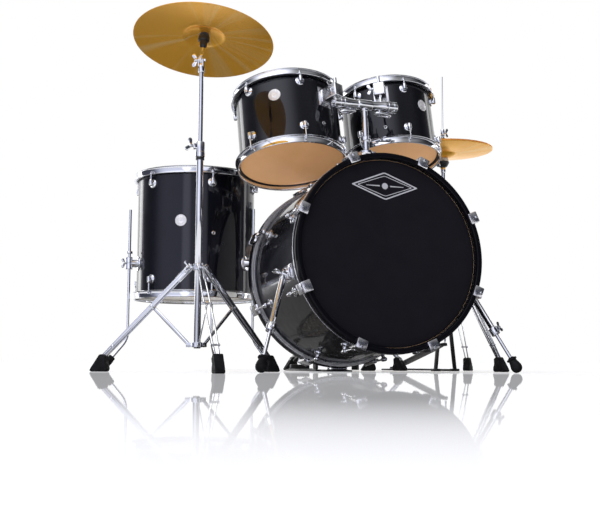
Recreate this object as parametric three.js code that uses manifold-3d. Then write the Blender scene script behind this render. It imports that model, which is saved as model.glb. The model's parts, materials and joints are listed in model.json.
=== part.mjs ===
// An acoustic five-drum kit with a crash cymbal, a hi-hat and a bass drum pedal.
// Millimetres, +Z up. X runs across the kit, -Y faces the audience, +Y faces the drummer.
import * as THREE from "three";
import { mergeVertices } from "three/addons/utils/BufferGeometryUtils.js";
import Module from "manifold-3d";

const wasm = await Module();
wasm.setup();

// ---------------------------------------------------------------- driving dimensions
const INCH = 25.4;
const GAP = 0.4; // clearance between two pieces that meet

// Every drum with steel hoops is built from its nominal radius and its shell depth.
const SHELL_WALL = 7.5;
const HOOP_RISE = 15; // a steel hoop stands this far past the bearing edge
const HOOP_HEIGHT = 28;
const HOOP_FLANGE = 13; // flange edge beyond the nominal radius
const FILM = 1.5;

const BASS = { radius: 11 * INCH, depth: 16 * INCH, tilt: 5.53, frontHeight: 346.5 };
const BASS_HOOP = { outer: 293.5, wall: 9.5, width: 38, overlap: 19 };

const RACK_TOMS = [
  { name: "left_tom", radius: 6.5 * INCH, depth: 9 * INCH, at: [-179, 350, 641], lean: 15.4,
    bracketAngle: -65, bracketReach: 214.7, bracketHeight: 175 },
  { name: "right_tom", radius: 6 * INCH, depth: 8.5 * INCH, at: [195, 399, 692], lean: 13.5,
    bracketAngle: -122, bracketReach: 195, bracketHeight: 177 },
];
const FLOOR_TOM = { radius: 8 * INCH, depth: 16 * INCH, at: [-374, 795, 239], legAngles: [-48, 60, 180],
  legReach: 232, toeReach: 302, legRadius: 5, footRadius: 13, bracketHeight: 122, legTop: 306 };
const SNARE = { radius: 7 * INCH, depth: 5.5 * INCH, at: [260, 920, 465], legAngles: [-60, 60, 180] };

const SPUR = { axial: 115, side: 11, pivotRadius: 297, foot: [397, -12], tipRadius: 17,
  tubeLength: 190, tubeRadius: 9.5, rodRadius: 6.3 };
const HOLDER = { axial: 147, postRadius: 9.5, teeHeight: 492, teeRadius: 12.5, rodRadius: 5.5,
  knuckleRadius: 19, knuckleWidth: 31 };

const CRASH = { at: [-531, 154], legAngles: [-94, 26, 146], tubeRadius: 9.5, tubeFoot: 70, tubeTop: 609,
  clampTop: 653, upperRadius: 6.35, upperFoot: 380, upperTop: 871, tiltHeight: 894,
  hubHeight: 294, collarHeight: 76, pivotRadius: 24, footReach: 299, lean: [0.138, 0.196, 1],
  cymbalRadius: 8 * INCH, cymbalRise: 58, sleeveRise: 80, stemLength: 104, stemRadius: 3.6,
  knuckleRadius: 12, cheekOffset: 6.6 };
const HIHAT = { at: [488, 584], turn: 13, tubeRadius: 11, tubeFoot: 200, tubeTop: 520, upperRadius: 8,
  seatHeight: 757, edgeHeight: 797, edgeGap: 3, rodRadius: 3.2, rodTop: 1072, hubHeight: 420,
  pivotRadius: 24, footReach: 282, legAngles: [-90, 30, 150], cymbalRadius: 7 * INCH,
  heel: [0, 268, 14], toe: [0, 2, 98], boardWidth: 46, frameHeight: 250, frameHalf: 45,
  cupRadius: 23, cupFoot: 733, nutRadius: 11, clutchRadius: 8, clutchLength: 38 };
const TRIPOD = { ankleHeight: 36, ankleInset: 12, barOffset: 6.2, barWidth: 12, barThickness: 2.6,
  pinRadius: 2.6, footWidth: 24 };
const SNARE_STAND = { tubeRadius: 11, bore: 8.4, tubeFoot: 62, tubeTop: 380, hip: [13, 256], ankle: [236, 34],
  footReach: 240, brace: [[9.5, 70], [130, 141]], barOffset: 5, basketDrop: 60, basketRadius: 17 };
const PEDAL = { axleY: 482, axleZ: 190, heelY: 742, heelZ: 30, toeY: 492, toeZ: 108, shaft: 160, rest: 38,
  plateWidth: 90, plateFront: 392, plateThickness: 5, postOffset: 47, axleRadius: 5, camRadius: 20,
  boardWidth: 74, headRadius: 25, headHalf: 26 };

const BIG_SIDES = 32; // sides round a drum or a cymbal
const BASS_SIDES = 40;
const TUBE_SIDES = 12;

// ---------------------------------------------------------------- materials
function material(colour, roughness, metalness) {
  return new THREE.MeshStandardMaterial({ color: colour, roughness, metalness });
}
const LACQUER = material(0x0b0b0d, 0.12, 0.0);
const WOOD_BLACK = material(0x141416, 0.25, 0.0);
const CHROME = material(0xd8dade, 0.12, 1.0);
const STEEL = material(0xb9bcc0, 0.3, 1.0);
const BLACK_METAL = material(0x1b1b1d, 0.45, 0.4);
const BLACK_FILM = material(0x1a1a1d, 0.5, 0.0);
const AMBER_FILM = material(0xc9935f, 0.25, 0.0);
const WHITE_FILM = material(0xece9e1, 0.6, 0.0);
const BRASS = material(0xc4953a, 0.28, 1.0);
const FELT = material(0xd9d4c8, 0.95, 0.0);

// ---------------------------------------------------------------- helpers
const UP = new THREE.Vector3(0, 0, 1);
const radians = THREE.MathUtils.degToRad;

function point(x, y, z) {
  return new THREE.Vector3(x, y, z);
}

function polar(radius, degrees, z = 0) {
  return point(radius * Math.cos(radians(degrees)), radius * Math.sin(radians(degrees)), z);
}

function along(from, direction, distance) {
  return from.clone().addScaledVector(direction, distance);
}

// A profile of [radius, height] turned about Z. It starts and ends on the axis.
function turned(profile, sides = BIG_SIDES) {
  const points = profile.map(([r, z]) => new THREE.Vector2(r, z));
  return new THREE.LatheGeometry(points, sides).rotateX(Math.PI / 2);
}

// A closed profile, going round with its inside on the left, turned about Z.
function ring(profile, sides = BIG_SIDES) {
  return turned([...profile, profile[0]], sides);
}

// The same profile seen from the far end of a piece of the given length.
function flipped(profile, length) {
  return profile.map(([r, z]) => [r, length - z]).reverse();
}

function aim(geometry, from, to) {
  const direction = to.clone().sub(from).normalize();
  const turn = new THREE.Quaternion().setFromUnitVectors(UP, direction);
  return geometry.applyQuaternion(turn).translate(from.x, from.y, from.z);
}

function rod(from, to, radius, sides = TUBE_SIDES) {
  const length = from.distanceTo(to);
  return aim(turned([[0, 0], [radius, 0], [radius, length], [0, length]], sides), from, to);
}

function pipe(from, to, outer, inner, sides = TUBE_SIDES) {
  const length = from.distanceTo(to);
  return aim(ring([[inner, 0], [outer, 0], [outer, length], [inner, length]], sides), from, to);
}

function block(sizeX, sizeY, sizeZ, centre) {
  return new THREE.BoxGeometry(sizeX, sizeY, sizeZ).translate(centre.x, centre.y, centre.z);
}

// A flat bar between two points: its thickness lies along the unit vector side.
function bar(from, to, width, thickness, side) {
  const direction = to.clone().sub(from);
  const length = direction.length();
  direction.normalize();
  const across = new THREE.Vector3().crossVectors(side, direction);
  const middle = from.clone().add(to).multiplyScalar(0.5);
  const turn = new THREE.Matrix4().makeBasis(direction, across, side);
  return new THREE.BoxGeometry(length, width, thickness).applyMatrix4(turn)
    .translate(middle.x, middle.y, middle.z);
}

// A round rod along straight runs, with a ball filling each corner.
function bentRod(points, radius, sides = 10) {
  const runs = points.slice(1).map((end, i) => rod(points[i], end, radius, sides));
  const corners = points.slice(1, -1).map((corner) =>
    new THREE.SphereGeometry(radius, sides, 6).translate(corner.x, corner.y, corner.z));
  return joined(...runs, ...corners);
}

function toSolid(geometry) {
  const bare = geometry.clone();
  bare.deleteAttribute("normal");
  bare.deleteAttribute("uv");
  const merged = mergeVertices(bare, 1e-3);
  return new wasm.Manifold(new wasm.Mesh({ numProp: 3,
    vertProperties: Float32Array.from(merged.attributes.position.array),
    triVerts: Uint32Array.from(merged.index.array) }));
}

function fromSolid(solid) {
  const mesh = solid.getMesh();
  const geometry = new THREE.BufferGeometry();
  geometry.setAttribute("position", new THREE.BufferAttribute(mesh.vertProperties, 3));
  geometry.setIndex(new THREE.BufferAttribute(mesh.triVerts, 1));
  geometry.computeVertexNormals();
  return geometry;
}

function joined(...geometries) {
  return fromSolid(geometries.map(toSolid).reduce((sum, next) => sum.add(next)));
}

function cut(geometry, ...tools) {
  return fromSolid(tools.map(toSolid).reduce((rest, tool) => rest.subtract(tool), toSolid(geometry)));
}

function piece(name, geometry, look) {
  const mesh = new THREE.Mesh(geometry, look);
  mesh.name = name;
  return mesh;
}

function group(position, ...members) {
  const holder = new THREE.Group();
  holder.position.set(...position);
  holder.add(...members);
  return holder;
}

// ---------------------------------------------------------------- drums with steel hoops
// A drum stands on the lower edge of its bottom hoop, which is its local origin.
function steelHoopDrum(name, { radius, depth }, shellExtras, bottomLook) {
  const height = depth + 2 * HOOP_RISE;
  const shellOuter = radius - 1.6;
  const shellInner = shellOuter - SHELL_WALL;
  const collar = [radius - 1, radius + 3.2];
  const wall = [radius + 3.7, radius + 5.9];
  const tube = ring([[shellInner, HOOP_RISE], [shellOuter, HOOP_RISE],
    [shellOuter, HOOP_RISE + depth], [shellInner, HOOP_RISE + depth]]);
  const hoop = [[wall[0], 0], [radius + HOOP_FLANGE, 0], [radius + HOOP_FLANGE, 2.5], [wall[1], 2.5],
    [wall[1], HOOP_HEIGHT], [wall[0], HOOP_HEIGHT]];
  const edge = HOOP_RISE - GAP;
  const head = [[0, edge - FILM], [collar[1], edge - FILM], [collar[1], edge + 9], [collar[0], edge + 9],
    [collar[0], edge], [0, edge]];
  return [
    piece(`${name}_shell`, shellExtras ? shellExtras(tube, shellOuter) : tube, LACQUER),
    piece(`${name}_bottom_hoop`, ring(hoop), CHROME),
    piece(`${name}_top_hoop`, ring(flipped(hoop, height)), CHROME),
    piece(`${name}_bottom_head`, turned(head), bottomLook),
    piece(`${name}_top_head`, turned(flipped(head, height)), WHITE_FILM),
  ];
}

// The bracket that clamps a rack tom to its arm, and its bore, both in the tom's own frame.
function rackTom(tom) {
  const bracket = (tube, shellOuter) => {
    const inner = shellOuter - 2;
    const outer = tom.bracketReach + 13;
    const casting = block(outer - inner, 34, 40, point((inner + outer) / 2, 0, tom.bracketHeight));
    const bore = rod(point(tom.bracketReach, 0, tom.bracketHeight - 30),
      point(tom.bracketReach, 0, tom.bracketHeight + 30), HOLDER.rodRadius + GAP);
    return joined(tube, cut(casting, bore).rotateZ(radians(tom.bracketAngle)));
  };
  const drum = group(tom.at, ...steelHoopDrum(tom.name, tom, bracket, AMBER_FILM));
  drum.rotation.x = -radians(tom.lean);
  return drum;
}

function floorTom() {
  const brackets = (tube, shellOuter) => {
    const inner = shellOuter - 2;
    const outer = FLOOR_TOM.legReach + 12;
    const castings = FLOOR_TOM.legAngles.map((angle) => {
      const casting = block(outer - inner, 30, 58, point((inner + outer) / 2, 0, FLOOR_TOM.bracketHeight));
      const bore = rod(point(FLOOR_TOM.legReach, 0, 80), point(FLOOR_TOM.legReach, 0, 165),
        FLOOR_TOM.legRadius + GAP);
      return cut(casting, bore).rotateZ(radians(angle));
    });
    return joined(tube, ...castings);
  };
  const legs = FLOOR_TOM.legAngles.map((angle, i) => floorTomLeg(`floor_tom_leg_${i + 1}`, angle));
  return group(FLOOR_TOM.at, ...steelHoopDrum("floor_tom", FLOOR_TOM, brackets, WHITE_FILM), ...legs);
}

// A leg rod with a kink that throws its rubber foot outward.
function floorTomLeg(name, angle) {
  const floor = -FLOOR_TOM.at[2];
  const reach = FLOOR_TOM.legReach;
  const { toeReach, legRadius, footRadius } = FLOOR_TOM;
  const knee = point(reach, 0, floor + 104);
  const toe = point(toeReach, 0, floor + footRadius + 6);
  const outward = toe.clone().sub(knee).normalize();
  const shaft = bentRod([point(reach, 0, FLOOR_TOM.legTop), knee, toe], legRadius);
  const heel = along(toe, outward, -30);
  const foot = rod(heel, along(toe, outward, 0), footRadius, 12);
  const sole = new THREE.SphereGeometry(footRadius, 10, 6).rotateX(Math.PI / 2)
    .translate(toe.x, 0, floor + footRadius);
  return piece(name, joined(shaft, foot, sole).rotateZ(radians(angle)), CHROME);
}

// ---------------------------------------------------------------- bass drum
const BASS_LENGTH = BASS.depth + 2 * BASS_HOOP.overlap;

// Local Z runs from the front face to the back, and local -Y is up.
function bassFrame(...members) {
  const frame = group([0, 0, BASS.frontHeight], ...members);
  frame.rotation.x = -radians(90 + BASS.tilt);
  return frame;
}

function bassPoint(x, up, axial) {
  return point(x, -up, axial);
}

// A bass-local point as a point of the kit.
function bassToKit(local) {
  return local.clone().applyAxisAngle(point(1, 0, 0), -radians(90 + BASS.tilt))
    .add(point(0, 0, BASS.frontHeight));
}

// The spur's pivot, its downward direction and its fold axis, for side -1 or +1, in the kit's frame.
function spurFrame(side) {
  const angle = radians(SPUR.side);
  const pivot = bassToKit(bassPoint(side * SPUR.pivotRadius * Math.cos(angle),
    -SPUR.pivotRadius * Math.sin(angle), SPUR.axial));
  const foot = point(side * SPUR.foot[0], SPUR.foot[1], SPUR.tipRadius);
  const down = foot.clone().sub(pivot);
  const length = down.length();
  down.normalize();
  const axis = point(side, 0, 0).addScaledVector(down, -side * down.x).normalize();
  return { pivot, down, axis, length };
}

function bassShell() {
  const outer = BASS.radius;
  const inner = outer - SHELL_WALL;
  const front = BASS_HOOP.overlap;
  const back = front + BASS.depth;
  const tube = ring([[inner, front], [outer, front], [outer, back], [inner, back]], BASS_SIDES);
  const fromKit = new THREE.Matrix4().makeRotationX(-radians(90 + BASS.tilt))
    .setPosition(0, 0, BASS.frontHeight).invert();
  const spurBrackets = [-1, 1].flatMap((side) => {
    const { pivot, axis } = spurFrame(side);
    const plate = block(10, 46, 56, point(outer - 2, 0, SPUR.axial));
    plate.rotateZ(radians(side > 0 ? SPUR.side : 180 - SPUR.side));
    const stud = rod(along(pivot, axis, -16), along(pivot, axis, 14), 4, 10).applyMatrix4(fromKit);
    return [plate, stud];
  });
  const receiver = rod(bassPoint(0, outer - 4, HOLDER.axial), bassPoint(0, outer + 62, HOLDER.axial), 17, 14);
  const foot = block(70, 12, 84, bassPoint(0, outer + 1, HOLDER.axial));
  const bore = rod(bassPoint(0, outer - 30, HOLDER.axial), bassPoint(0, outer + 80, HOLDER.axial),
    HOLDER.postRadius + GAP, TUBE_SIDES);
  return cut(joined(tube, ...spurBrackets, receiver, foot), bore);
}

function bassDrum() {
  const { outer, wall, width } = BASS_HOOP;
  const lip = 16.8;
  const hoop = [[outer - wall - 3, 0], [outer, 0], [outer, width], [outer - wall, width],
    [outer - wall, lip], [outer - wall - 3, lip]];
  const edge = BASS_HOOP.overlap - GAP;
  const collar = [BASS.radius + 0.6, outer - wall - GAP];
  const head = [[0, edge - FILM], [collar[1], edge - FILM], [collar[1], 32], [collar[0], 32],
    [collar[0], edge], [0, edge]];
  return bassFrame(
    piece("bass_shell", bassShell(), LACQUER),
    piece("bass_front_hoop", ring(hoop, BASS_SIDES), WOOD_BLACK),
    piece("bass_batter_hoop", ring(flipped(hoop, BASS_LENGTH), BASS_SIDES), WOOD_BLACK),
    piece("bass_front_head", turned(head, BASS_SIDES), BLACK_FILM),
    piece("bass_batter_head", turned(flipped(head, BASS_LENGTH), BASS_SIDES), WHITE_FILM),
  );
}

function spur(name, side) {
  const { pivot, down, axis, length } = spurFrame(side);
  const top = along(pivot, down, 4);
  const bottom = along(pivot, down, SPUR.tubeLength);
  const tube = joined(rod(top, bottom, SPUR.tubeRadius),
    rod(along(pivot, down, SPUR.tubeLength - 22), along(bottom, down, 4), SPUR.tubeRadius + 4),
    rod(along(pivot, axis, -7.5), along(pivot, axis, 7.5), 15, 18));
  const hollow = rod(along(pivot, down, 24), along(pivot, down, SPUR.tubeLength + 10), SPUR.rodRadius + GAP);
  const eye = rod(along(pivot, axis, -20), along(pivot, axis, 20), 4 + GAP, 10);
  const rim = SPUR.tipRadius - 1;
  const cup = turned([[0, 0], [11, 0], [13, 26], [rim, 30], [rim, 34], [0, 34]], 12);
  const tip = aim(cup, along(pivot, down, length - 33), along(pivot, down, length));
  const centre = along(pivot, down, length);
  const ball = new THREE.SphereGeometry(SPUR.tipRadius, 12, 8).rotateX(Math.PI / 2)
    .translate(centre.x, centre.y, centre.z);
  return [
    piece(`spur_leg_${name}`, cut(tube, hollow, eye), CHROME),
    piece(`spur_rod_${name}`, joined(rod(along(pivot, down, 116), along(pivot, down, length - 20),
      SPUR.rodRadius), tip, ball), CHROME),
  ];
}

// ---------------------------------------------------------------- tom holder
const TEE_CENTRE = bassToKit(bassPoint(0, HOLDER.teeHeight, HOLDER.axial));

// The axis line of a rack tom's arm rod: a point on it beside the bracket, and its direction.
function armLine(tom) {
  const lean = radians(tom.lean);
  const direction = point(0, Math.sin(lean), Math.cos(lean));
  const beside = polar(tom.bracketReach, tom.bracketAngle, tom.bracketHeight)
    .applyAxisAngle(point(1, 0, 0), -lean).add(point(...tom.at));
  return { beside, direction };
}

function holderPost() {
  const reaches = RACK_TOMS.map((tom) => armLine(tom).beside.x);
  const inner = HOLDER.knuckleWidth / 2 + GAP;
  const postAxis = bassToKit(bassPoint(0, HOLDER.teeHeight - 260, HOLDER.axial));
  const tee = rod(point(reaches[0] + inner, TEE_CENTRE.y, TEE_CENTRE.z),
    point(reaches[1] - inner, TEE_CENTRE.y, TEE_CENTRE.z), HOLDER.teeRadius, 16);
  const sleeve = rod(point(-20, TEE_CENTRE.y, TEE_CENTRE.z), point(20, TEE_CENTRE.y, TEE_CENTRE.z), 16, 16);
  const axle = rod(point(reaches[0] - inner, TEE_CENTRE.y, TEE_CENTRE.z),
    point(reaches[1] + inner, TEE_CENTRE.y, TEE_CENTRE.z), 7, 12);
  const post = rod(postAxis, TEE_CENTRE, HOLDER.postRadius);
  return piece("holder_post", joined(post, tee, sleeve, axle), CHROME);
}

function holderArm(name, tom) {
  const { beside, direction } = armLine(tom);
  const centre = point(beside.x, TEE_CENTRE.y, TEE_CENTRE.z);
  const half = HOLDER.knuckleWidth / 2;
  const knuckle = rod(point(centre.x - half, centre.y, centre.z), point(centre.x + half, centre.y, centre.z),
    HOLDER.knuckleRadius, 20);
  const level = along(beside, direction, (centre.z - beside.z) / direction.z);
  const rodTop = along(beside, direction, 46);
  const offset = level.y - centre.y;
  const path = offset > 30 ? [along(centre, point(0, 1, 0), 12), level, rodTop] : [level, rodTop];
  const shaft = path.length > 2 ? bentRod(path, HOLDER.rodRadius) : rod(level, rodTop, HOLDER.rodRadius);
  const bore = rod(point(centre.x - 30, centre.y, centre.z), point(centre.x + 30, centre.y, centre.z),
    7 + GAP, 12);
  return piece(name, cut(joined(knuckle, shaft), bore), CHROME);
}

// ---------------------------------------------------------------- tripod legs
// A leg is two flat bars with a rubber foot, hung on a pin through an ear of its hub.
// All of it is drawn in the leg's own vertical plane, with X outward, and then turned to its angle.
function tripodLeg(name, angle, { pivotRadius, hubHeight, footReach }) {
  const side = point(0, 1, 0);
  const pivot = point(pivotRadius, 0, hubHeight);
  const { ankleHeight, ankleInset, barOffset, barWidth, barThickness, pinRadius, footWidth } = TRIPOD;
  const ankle = point(footReach - ankleInset, 0, ankleHeight);
  const outward = ankle.clone().sub(pivot).normalize();
  const bars = [-1, 1].map((hand) => bar(
    along(pivot, outward, -barWidth / 2).add(point(0, hand * barOffset, 0)),
    along(ankle, outward, barWidth / 2).add(point(0, hand * barOffset, 0)), barWidth, barThickness, side));
  const pin = rod(point(pivotRadius, -9, hubHeight), point(pivotRadius, 9, hubHeight), pinRadius, 10);
  const profile = new THREE.Shape([[-30, 44], [-10, 48], [20, 3], [16, 0], [-26, 0], [-32, 6]]
    .map(([x, z]) => new THREE.Vector2(x, z)));
  const foot = new THREE.ExtrudeGeometry(profile, { depth: footWidth, bevelEnabled: false })
    .translate(0, 0, -footWidth / 2).rotateX(Math.PI / 2).translate(footReach, 0, 0);
  return piece(name, joined(...bars, pin, foot).rotateZ(radians(angle)), CHROME);
}

// A collar round a tube with one ear for each leg, bored for the leg's pin.
function earCollar(height, thickness, outer, bore, pivotRadius, angles) {
  const collar = rod(point(0, 0, height - thickness / 2), point(0, 0, height + thickness / 2), outer, 18);
  const ears = angles.map((angle) => {
    const ear = block(pivotRadius + 7 - outer + 4, 8.6, 13,
      point((pivotRadius + 7 + outer - 4) / 2, 0, height));
    const hole = rod(point(pivotRadius, -8, height), point(pivotRadius, 8, height),
      TRIPOD.pinRadius + GAP, 10);
    return cut(ear, hole).rotateZ(radians(angle));
  });
  const tube = rod(point(0, 0, height - 40), point(0, 0, height + 40), bore, TUBE_SIDES);
  return cut(joined(collar, ...ears), tube);
}

// ---------------------------------------------------------------- cymbals
// A cymbal's edge lies at height 0 and its bell stands above it.
function cymbal(radius, bow, bellRadius, bellHeight) {
  const thickness = 1.3;
  const hole = 6.5;
  const upper = [[radius, thickness], [radius * 0.62, bow * 0.6 + thickness], [bellRadius, bow + thickness],
    [bellRadius * 0.72, bow + bellHeight * 0.72 + thickness], [hole, bow + bellHeight + thickness]];
  const lower = [[hole, bow + bellHeight], [bellRadius * 0.7, bow + bellHeight * 0.7],
    [bellRadius - 1, bow], [radius * 0.62, bow * 0.6], [radius, 0]];
  return ring([...upper, ...lower]);
}

// ---------------------------------------------------------------- crash stand
const CRASH_NORMAL = point(...CRASH.lean).normalize();

function crashBase() {
  const bore = CRASH.upperRadius + 1.4;
  const tube = ring([[bore, CRASH.tubeFoot], [CRASH.tubeRadius, CRASH.tubeFoot],
    [CRASH.tubeRadius, CRASH.tubeTop], [14, CRASH.tubeTop], [14, CRASH.clampTop],
    [CRASH.upperRadius + GAP, CRASH.clampTop], [CRASH.upperRadius + GAP, CRASH.tubeTop],
    [bore, CRASH.tubeTop]], TUBE_SIDES);
  const collar = cut(rod(point(0, 0, CRASH.collarHeight - 7), point(0, 0, CRASH.collarHeight + 7), 14, 18),
    rod(point(0, 0, 50), point(0, 0, 100), bore + 0.5, TUBE_SIDES));
  const cheek = (hand) => block(18, 2.4, 12, point(CRASH.pivotRadius - 2, hand * 3.8, CRASH.collarHeight));
  const forks = CRASH.legAngles.flatMap((angle) =>
    [-1, 1].map((hand) => cheek(hand).rotateZ(radians(angle))));
  return piece("crash_base_tube", joined(tube, collar, ...forks), CHROME);
}

// A strut lies between its leg's two bars and runs from the lower collar up to the leg's middle.
function crashStrut(name, angle) {
  const start = point(CRASH.pivotRadius, 0, CRASH.collarHeight);
  const ankle = point(CRASH.footReach - TRIPOD.ankleInset, 0, TRIPOD.ankleHeight);
  const top = point(CRASH.pivotRadius, 0, CRASH.hubHeight);
  const slope = ankle.clone().sub(top).normalize();
  const half = (CRASH.hubHeight - CRASH.collarHeight) / 2;
  const knee = along(top, slope, half / -slope.z);
  const direction = knee.clone().sub(start).normalize();
  const strut = bar(along(start, direction, -5), along(knee, direction, 5), 10, 3.6, point(0, 1, 0));
  return piece(name, strut.rotateZ(radians(angle)), CHROME);
}

// The tilter's knuckle turns on the upper tube's ears, and its rod carries the cymbal between felts.
function crashTilter() {
  const pivot = point(0, 0, CRASH.tiltHeight);
  const hinge = new THREE.Vector3().crossVectors(UP, CRASH_NORMAL).normalize();
  const seat = along(pivot, CRASH_NORMAL, CRASH.sleeveRise);
  const drum = rod(along(pivot, hinge, -4.6), along(pivot, hinge, 4.6), CRASH.knuckleRadius, 18);
  const stem = rod(pivot, along(pivot, CRASH_NORMAL, CRASH.stemLength), CRASH.stemRadius, 10);
  const sleeve = rod(along(seat, CRASH_NORMAL, -22), along(seat, CRASH_NORMAL, 0), 9, 14);
  const lowerFelt = rod(along(seat, CRASH_NORMAL, -4), along(seat, CRASH_NORMAL, 5.5), 15, 14);
  const bell = along(pivot, CRASH_NORMAL, CRASH.cymbalRise + 31.8);
  const upperFelt = rod(along(bell, CRASH_NORMAL, 1.8), along(bell, CRASH_NORMAL, 8), 12, 14);
  return piece("crash_tilter", joined(drum, stem, sleeve, lowerFelt, upperFelt), CHROME);
}

function crashUpper() {
  const hinge = new THREE.Vector3().crossVectors(UP, CRASH_NORMAL).normalize();
  const cheeks = [-1, 1].map((hand) => {
    const foot = along(point(0, 0, CRASH.upperTop - 6), hinge, hand * CRASH.cheekOffset);
    const head = along(point(0, 0, CRASH.tiltHeight + 10), hinge, hand * CRASH.cheekOffset);
    return bar(foot, head, 18, 3, hinge);
  });
  const cap = rod(point(0, 0, CRASH.upperTop - 22), point(0, 0, CRASH.tiltHeight - 14), 9.5, 14);
  return piece("crash_upper_tube", joined(rod(point(0, 0, CRASH.upperFoot), point(0, 0, CRASH.upperTop),
    CRASH.upperRadius), cap, ...cheeks), CHROME);
}

function crashStand() {
  const hub = earCollar(CRASH.hubHeight, 18, 15, CRASH.tubeRadius + GAP, CRASH.pivotRadius, CRASH.legAngles);
  const plate = cymbal(CRASH.cymbalRadius, 17, 60, 13.5);
  const seat = along(point(0, 0, CRASH.tiltHeight), CRASH_NORMAL, CRASH.cymbalRise);
  const crash = piece("crash_cymbal", plate, BRASS);
  crash.quaternion.setFromUnitVectors(UP, CRASH_NORMAL);
  crash.position.copy(seat);
  return group([...CRASH.at, 0],
    crashBase(), piece("crash_hub", hub, CHROME), crashUpper(), crashTilter(), crash,
    ...CRASH.legAngles.map((angle, i) => tripodLeg(`crash_leg_${i + 1}`, angle, CRASH)),
    ...CRASH.legAngles.map((angle, i) => crashStrut(`crash_strut_${i + 1}`, angle)));
}

// ---------------------------------------------------------------- hi-hat
const HIHAT_HEEL = point(...HIHAT.heel);
const HIHAT_TOE = point(...HIHAT.toe);

function hihatStand() {
  const bore = HIHAT.upperRadius + GAP;
  const tube = ring([[bore, HIHAT.tubeFoot], [HIHAT.tubeRadius, HIHAT.tubeFoot],
    [HIHAT.tubeRadius, HIHAT.tubeTop - 30], [15, HIHAT.tubeTop - 30], [15, HIHAT.tubeTop],
    [bore, HIHAT.tubeTop]], TUBE_SIDES);
  const hub = earCollar(HIHAT.hubHeight, 18, 16, bore + 0.8, HIHAT.pivotRadius, HIHAT.legAngles);
  const uprights = [-1, 1].map((hand) => bar(point(hand * HIHAT.frameHalf, 0, 2),
    point(hand * 13.5, 0, HIHAT.frameHeight), 20, 7,
    point(hand, 0, 0.13).normalize()));
  const base = block(106, 34, 8, point(0, 0, 4));
  const rails = [-1, 1].map((hand) => rod(point(hand * 30, 0, 5), point(hand * 30, HIHAT_HEEL.y, 5), 3, 8));
  const heelPlate = block(82, 64, 6, point(0, HIHAT_HEEL.y + 14, 4));
  const heelPost = block(50, 16, 8, point(0, HIHAT_HEEL.y + 8, 10));
  const stand = joined(tube, hub, ...uprights, base, ...rails, heelPlate, heelPost);
  return piece("hihat_stand", stand, BLACK_METAL);
}

function hihatFootboard() {
  const run = HIHAT_TOE.clone().sub(HIHAT_HEEL);
  const normal = point(0, run.z, -run.y).normalize();
  const plate = bar(HIHAT_HEEL.clone().add(point(0, -2, 2)), HIHAT_TOE, HIHAT.boardWidth, 5, normal);
  return piece("hihat_footboard", plate, BLACK_METAL);
}

function hihatUpper() {
  const bore = HIHAT.rodRadius + GAP;
  const tube = ring([[bore, 430], [HIHAT.upperRadius, 430], [HIHAT.upperRadius, 714], [10.5, 714],
    [10.5, HIHAT.cupFoot], [HIHAT.cupRadius, HIHAT.cupFoot], [HIHAT.cupRadius, HIHAT.seatHeight],
    [bore, HIHAT.seatHeight]], TUBE_SIDES);
  return piece("hihat_upper_tube", tube, CHROME);
}

function hihatRod() {
  const clutchFoot = HIHAT.edgeHeight + HIHAT.edgeGap + 29.5;
  const stem = rod(point(0, 0, 106), point(0, 0, HIHAT.rodTop), HIHAT.rodRadius, 10);
  const nut = rod(point(0, 0, clutchFoot), point(0, 0, clutchFoot + 9), HIHAT.nutRadius, 14);
  const clutch = rod(point(0, 0, clutchFoot + 8), point(0, 0, clutchFoot + 8 + HIHAT.clutchLength),
    HIHAT.clutchRadius, 14);
  const screw = rod(point(0, 0, clutchFoot + 36), point(30, 0, clutchFoot + 36), 3, 8);
  return piece("hihat_pull_rod", joined(stem, nut, clutch, screw), CHROME);
}

function hihat() {
  const shape = () => cymbal(HIHAT.cymbalRadius, 13, 50, 14);
  const stand = group([...HIHAT.at, 0], hihatStand(), hihatFootboard(), hihatUpper(), hihatRod(),
    piece("hihat_bottom_cymbal", shape().rotateX(Math.PI).translate(0, 0, HIHAT.edgeHeight), BRASS),
    piece("hihat_top_cymbal", shape().translate(0, 0, HIHAT.edgeHeight + HIHAT.edgeGap), BRASS),
    ...HIHAT.legAngles.map((angle, i) => tripodLeg(`hihat_leg_${i + 1}`, angle, HIHAT)));
  stand.rotation.z = radians(HIHAT.turn);
  return stand;
}

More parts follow.
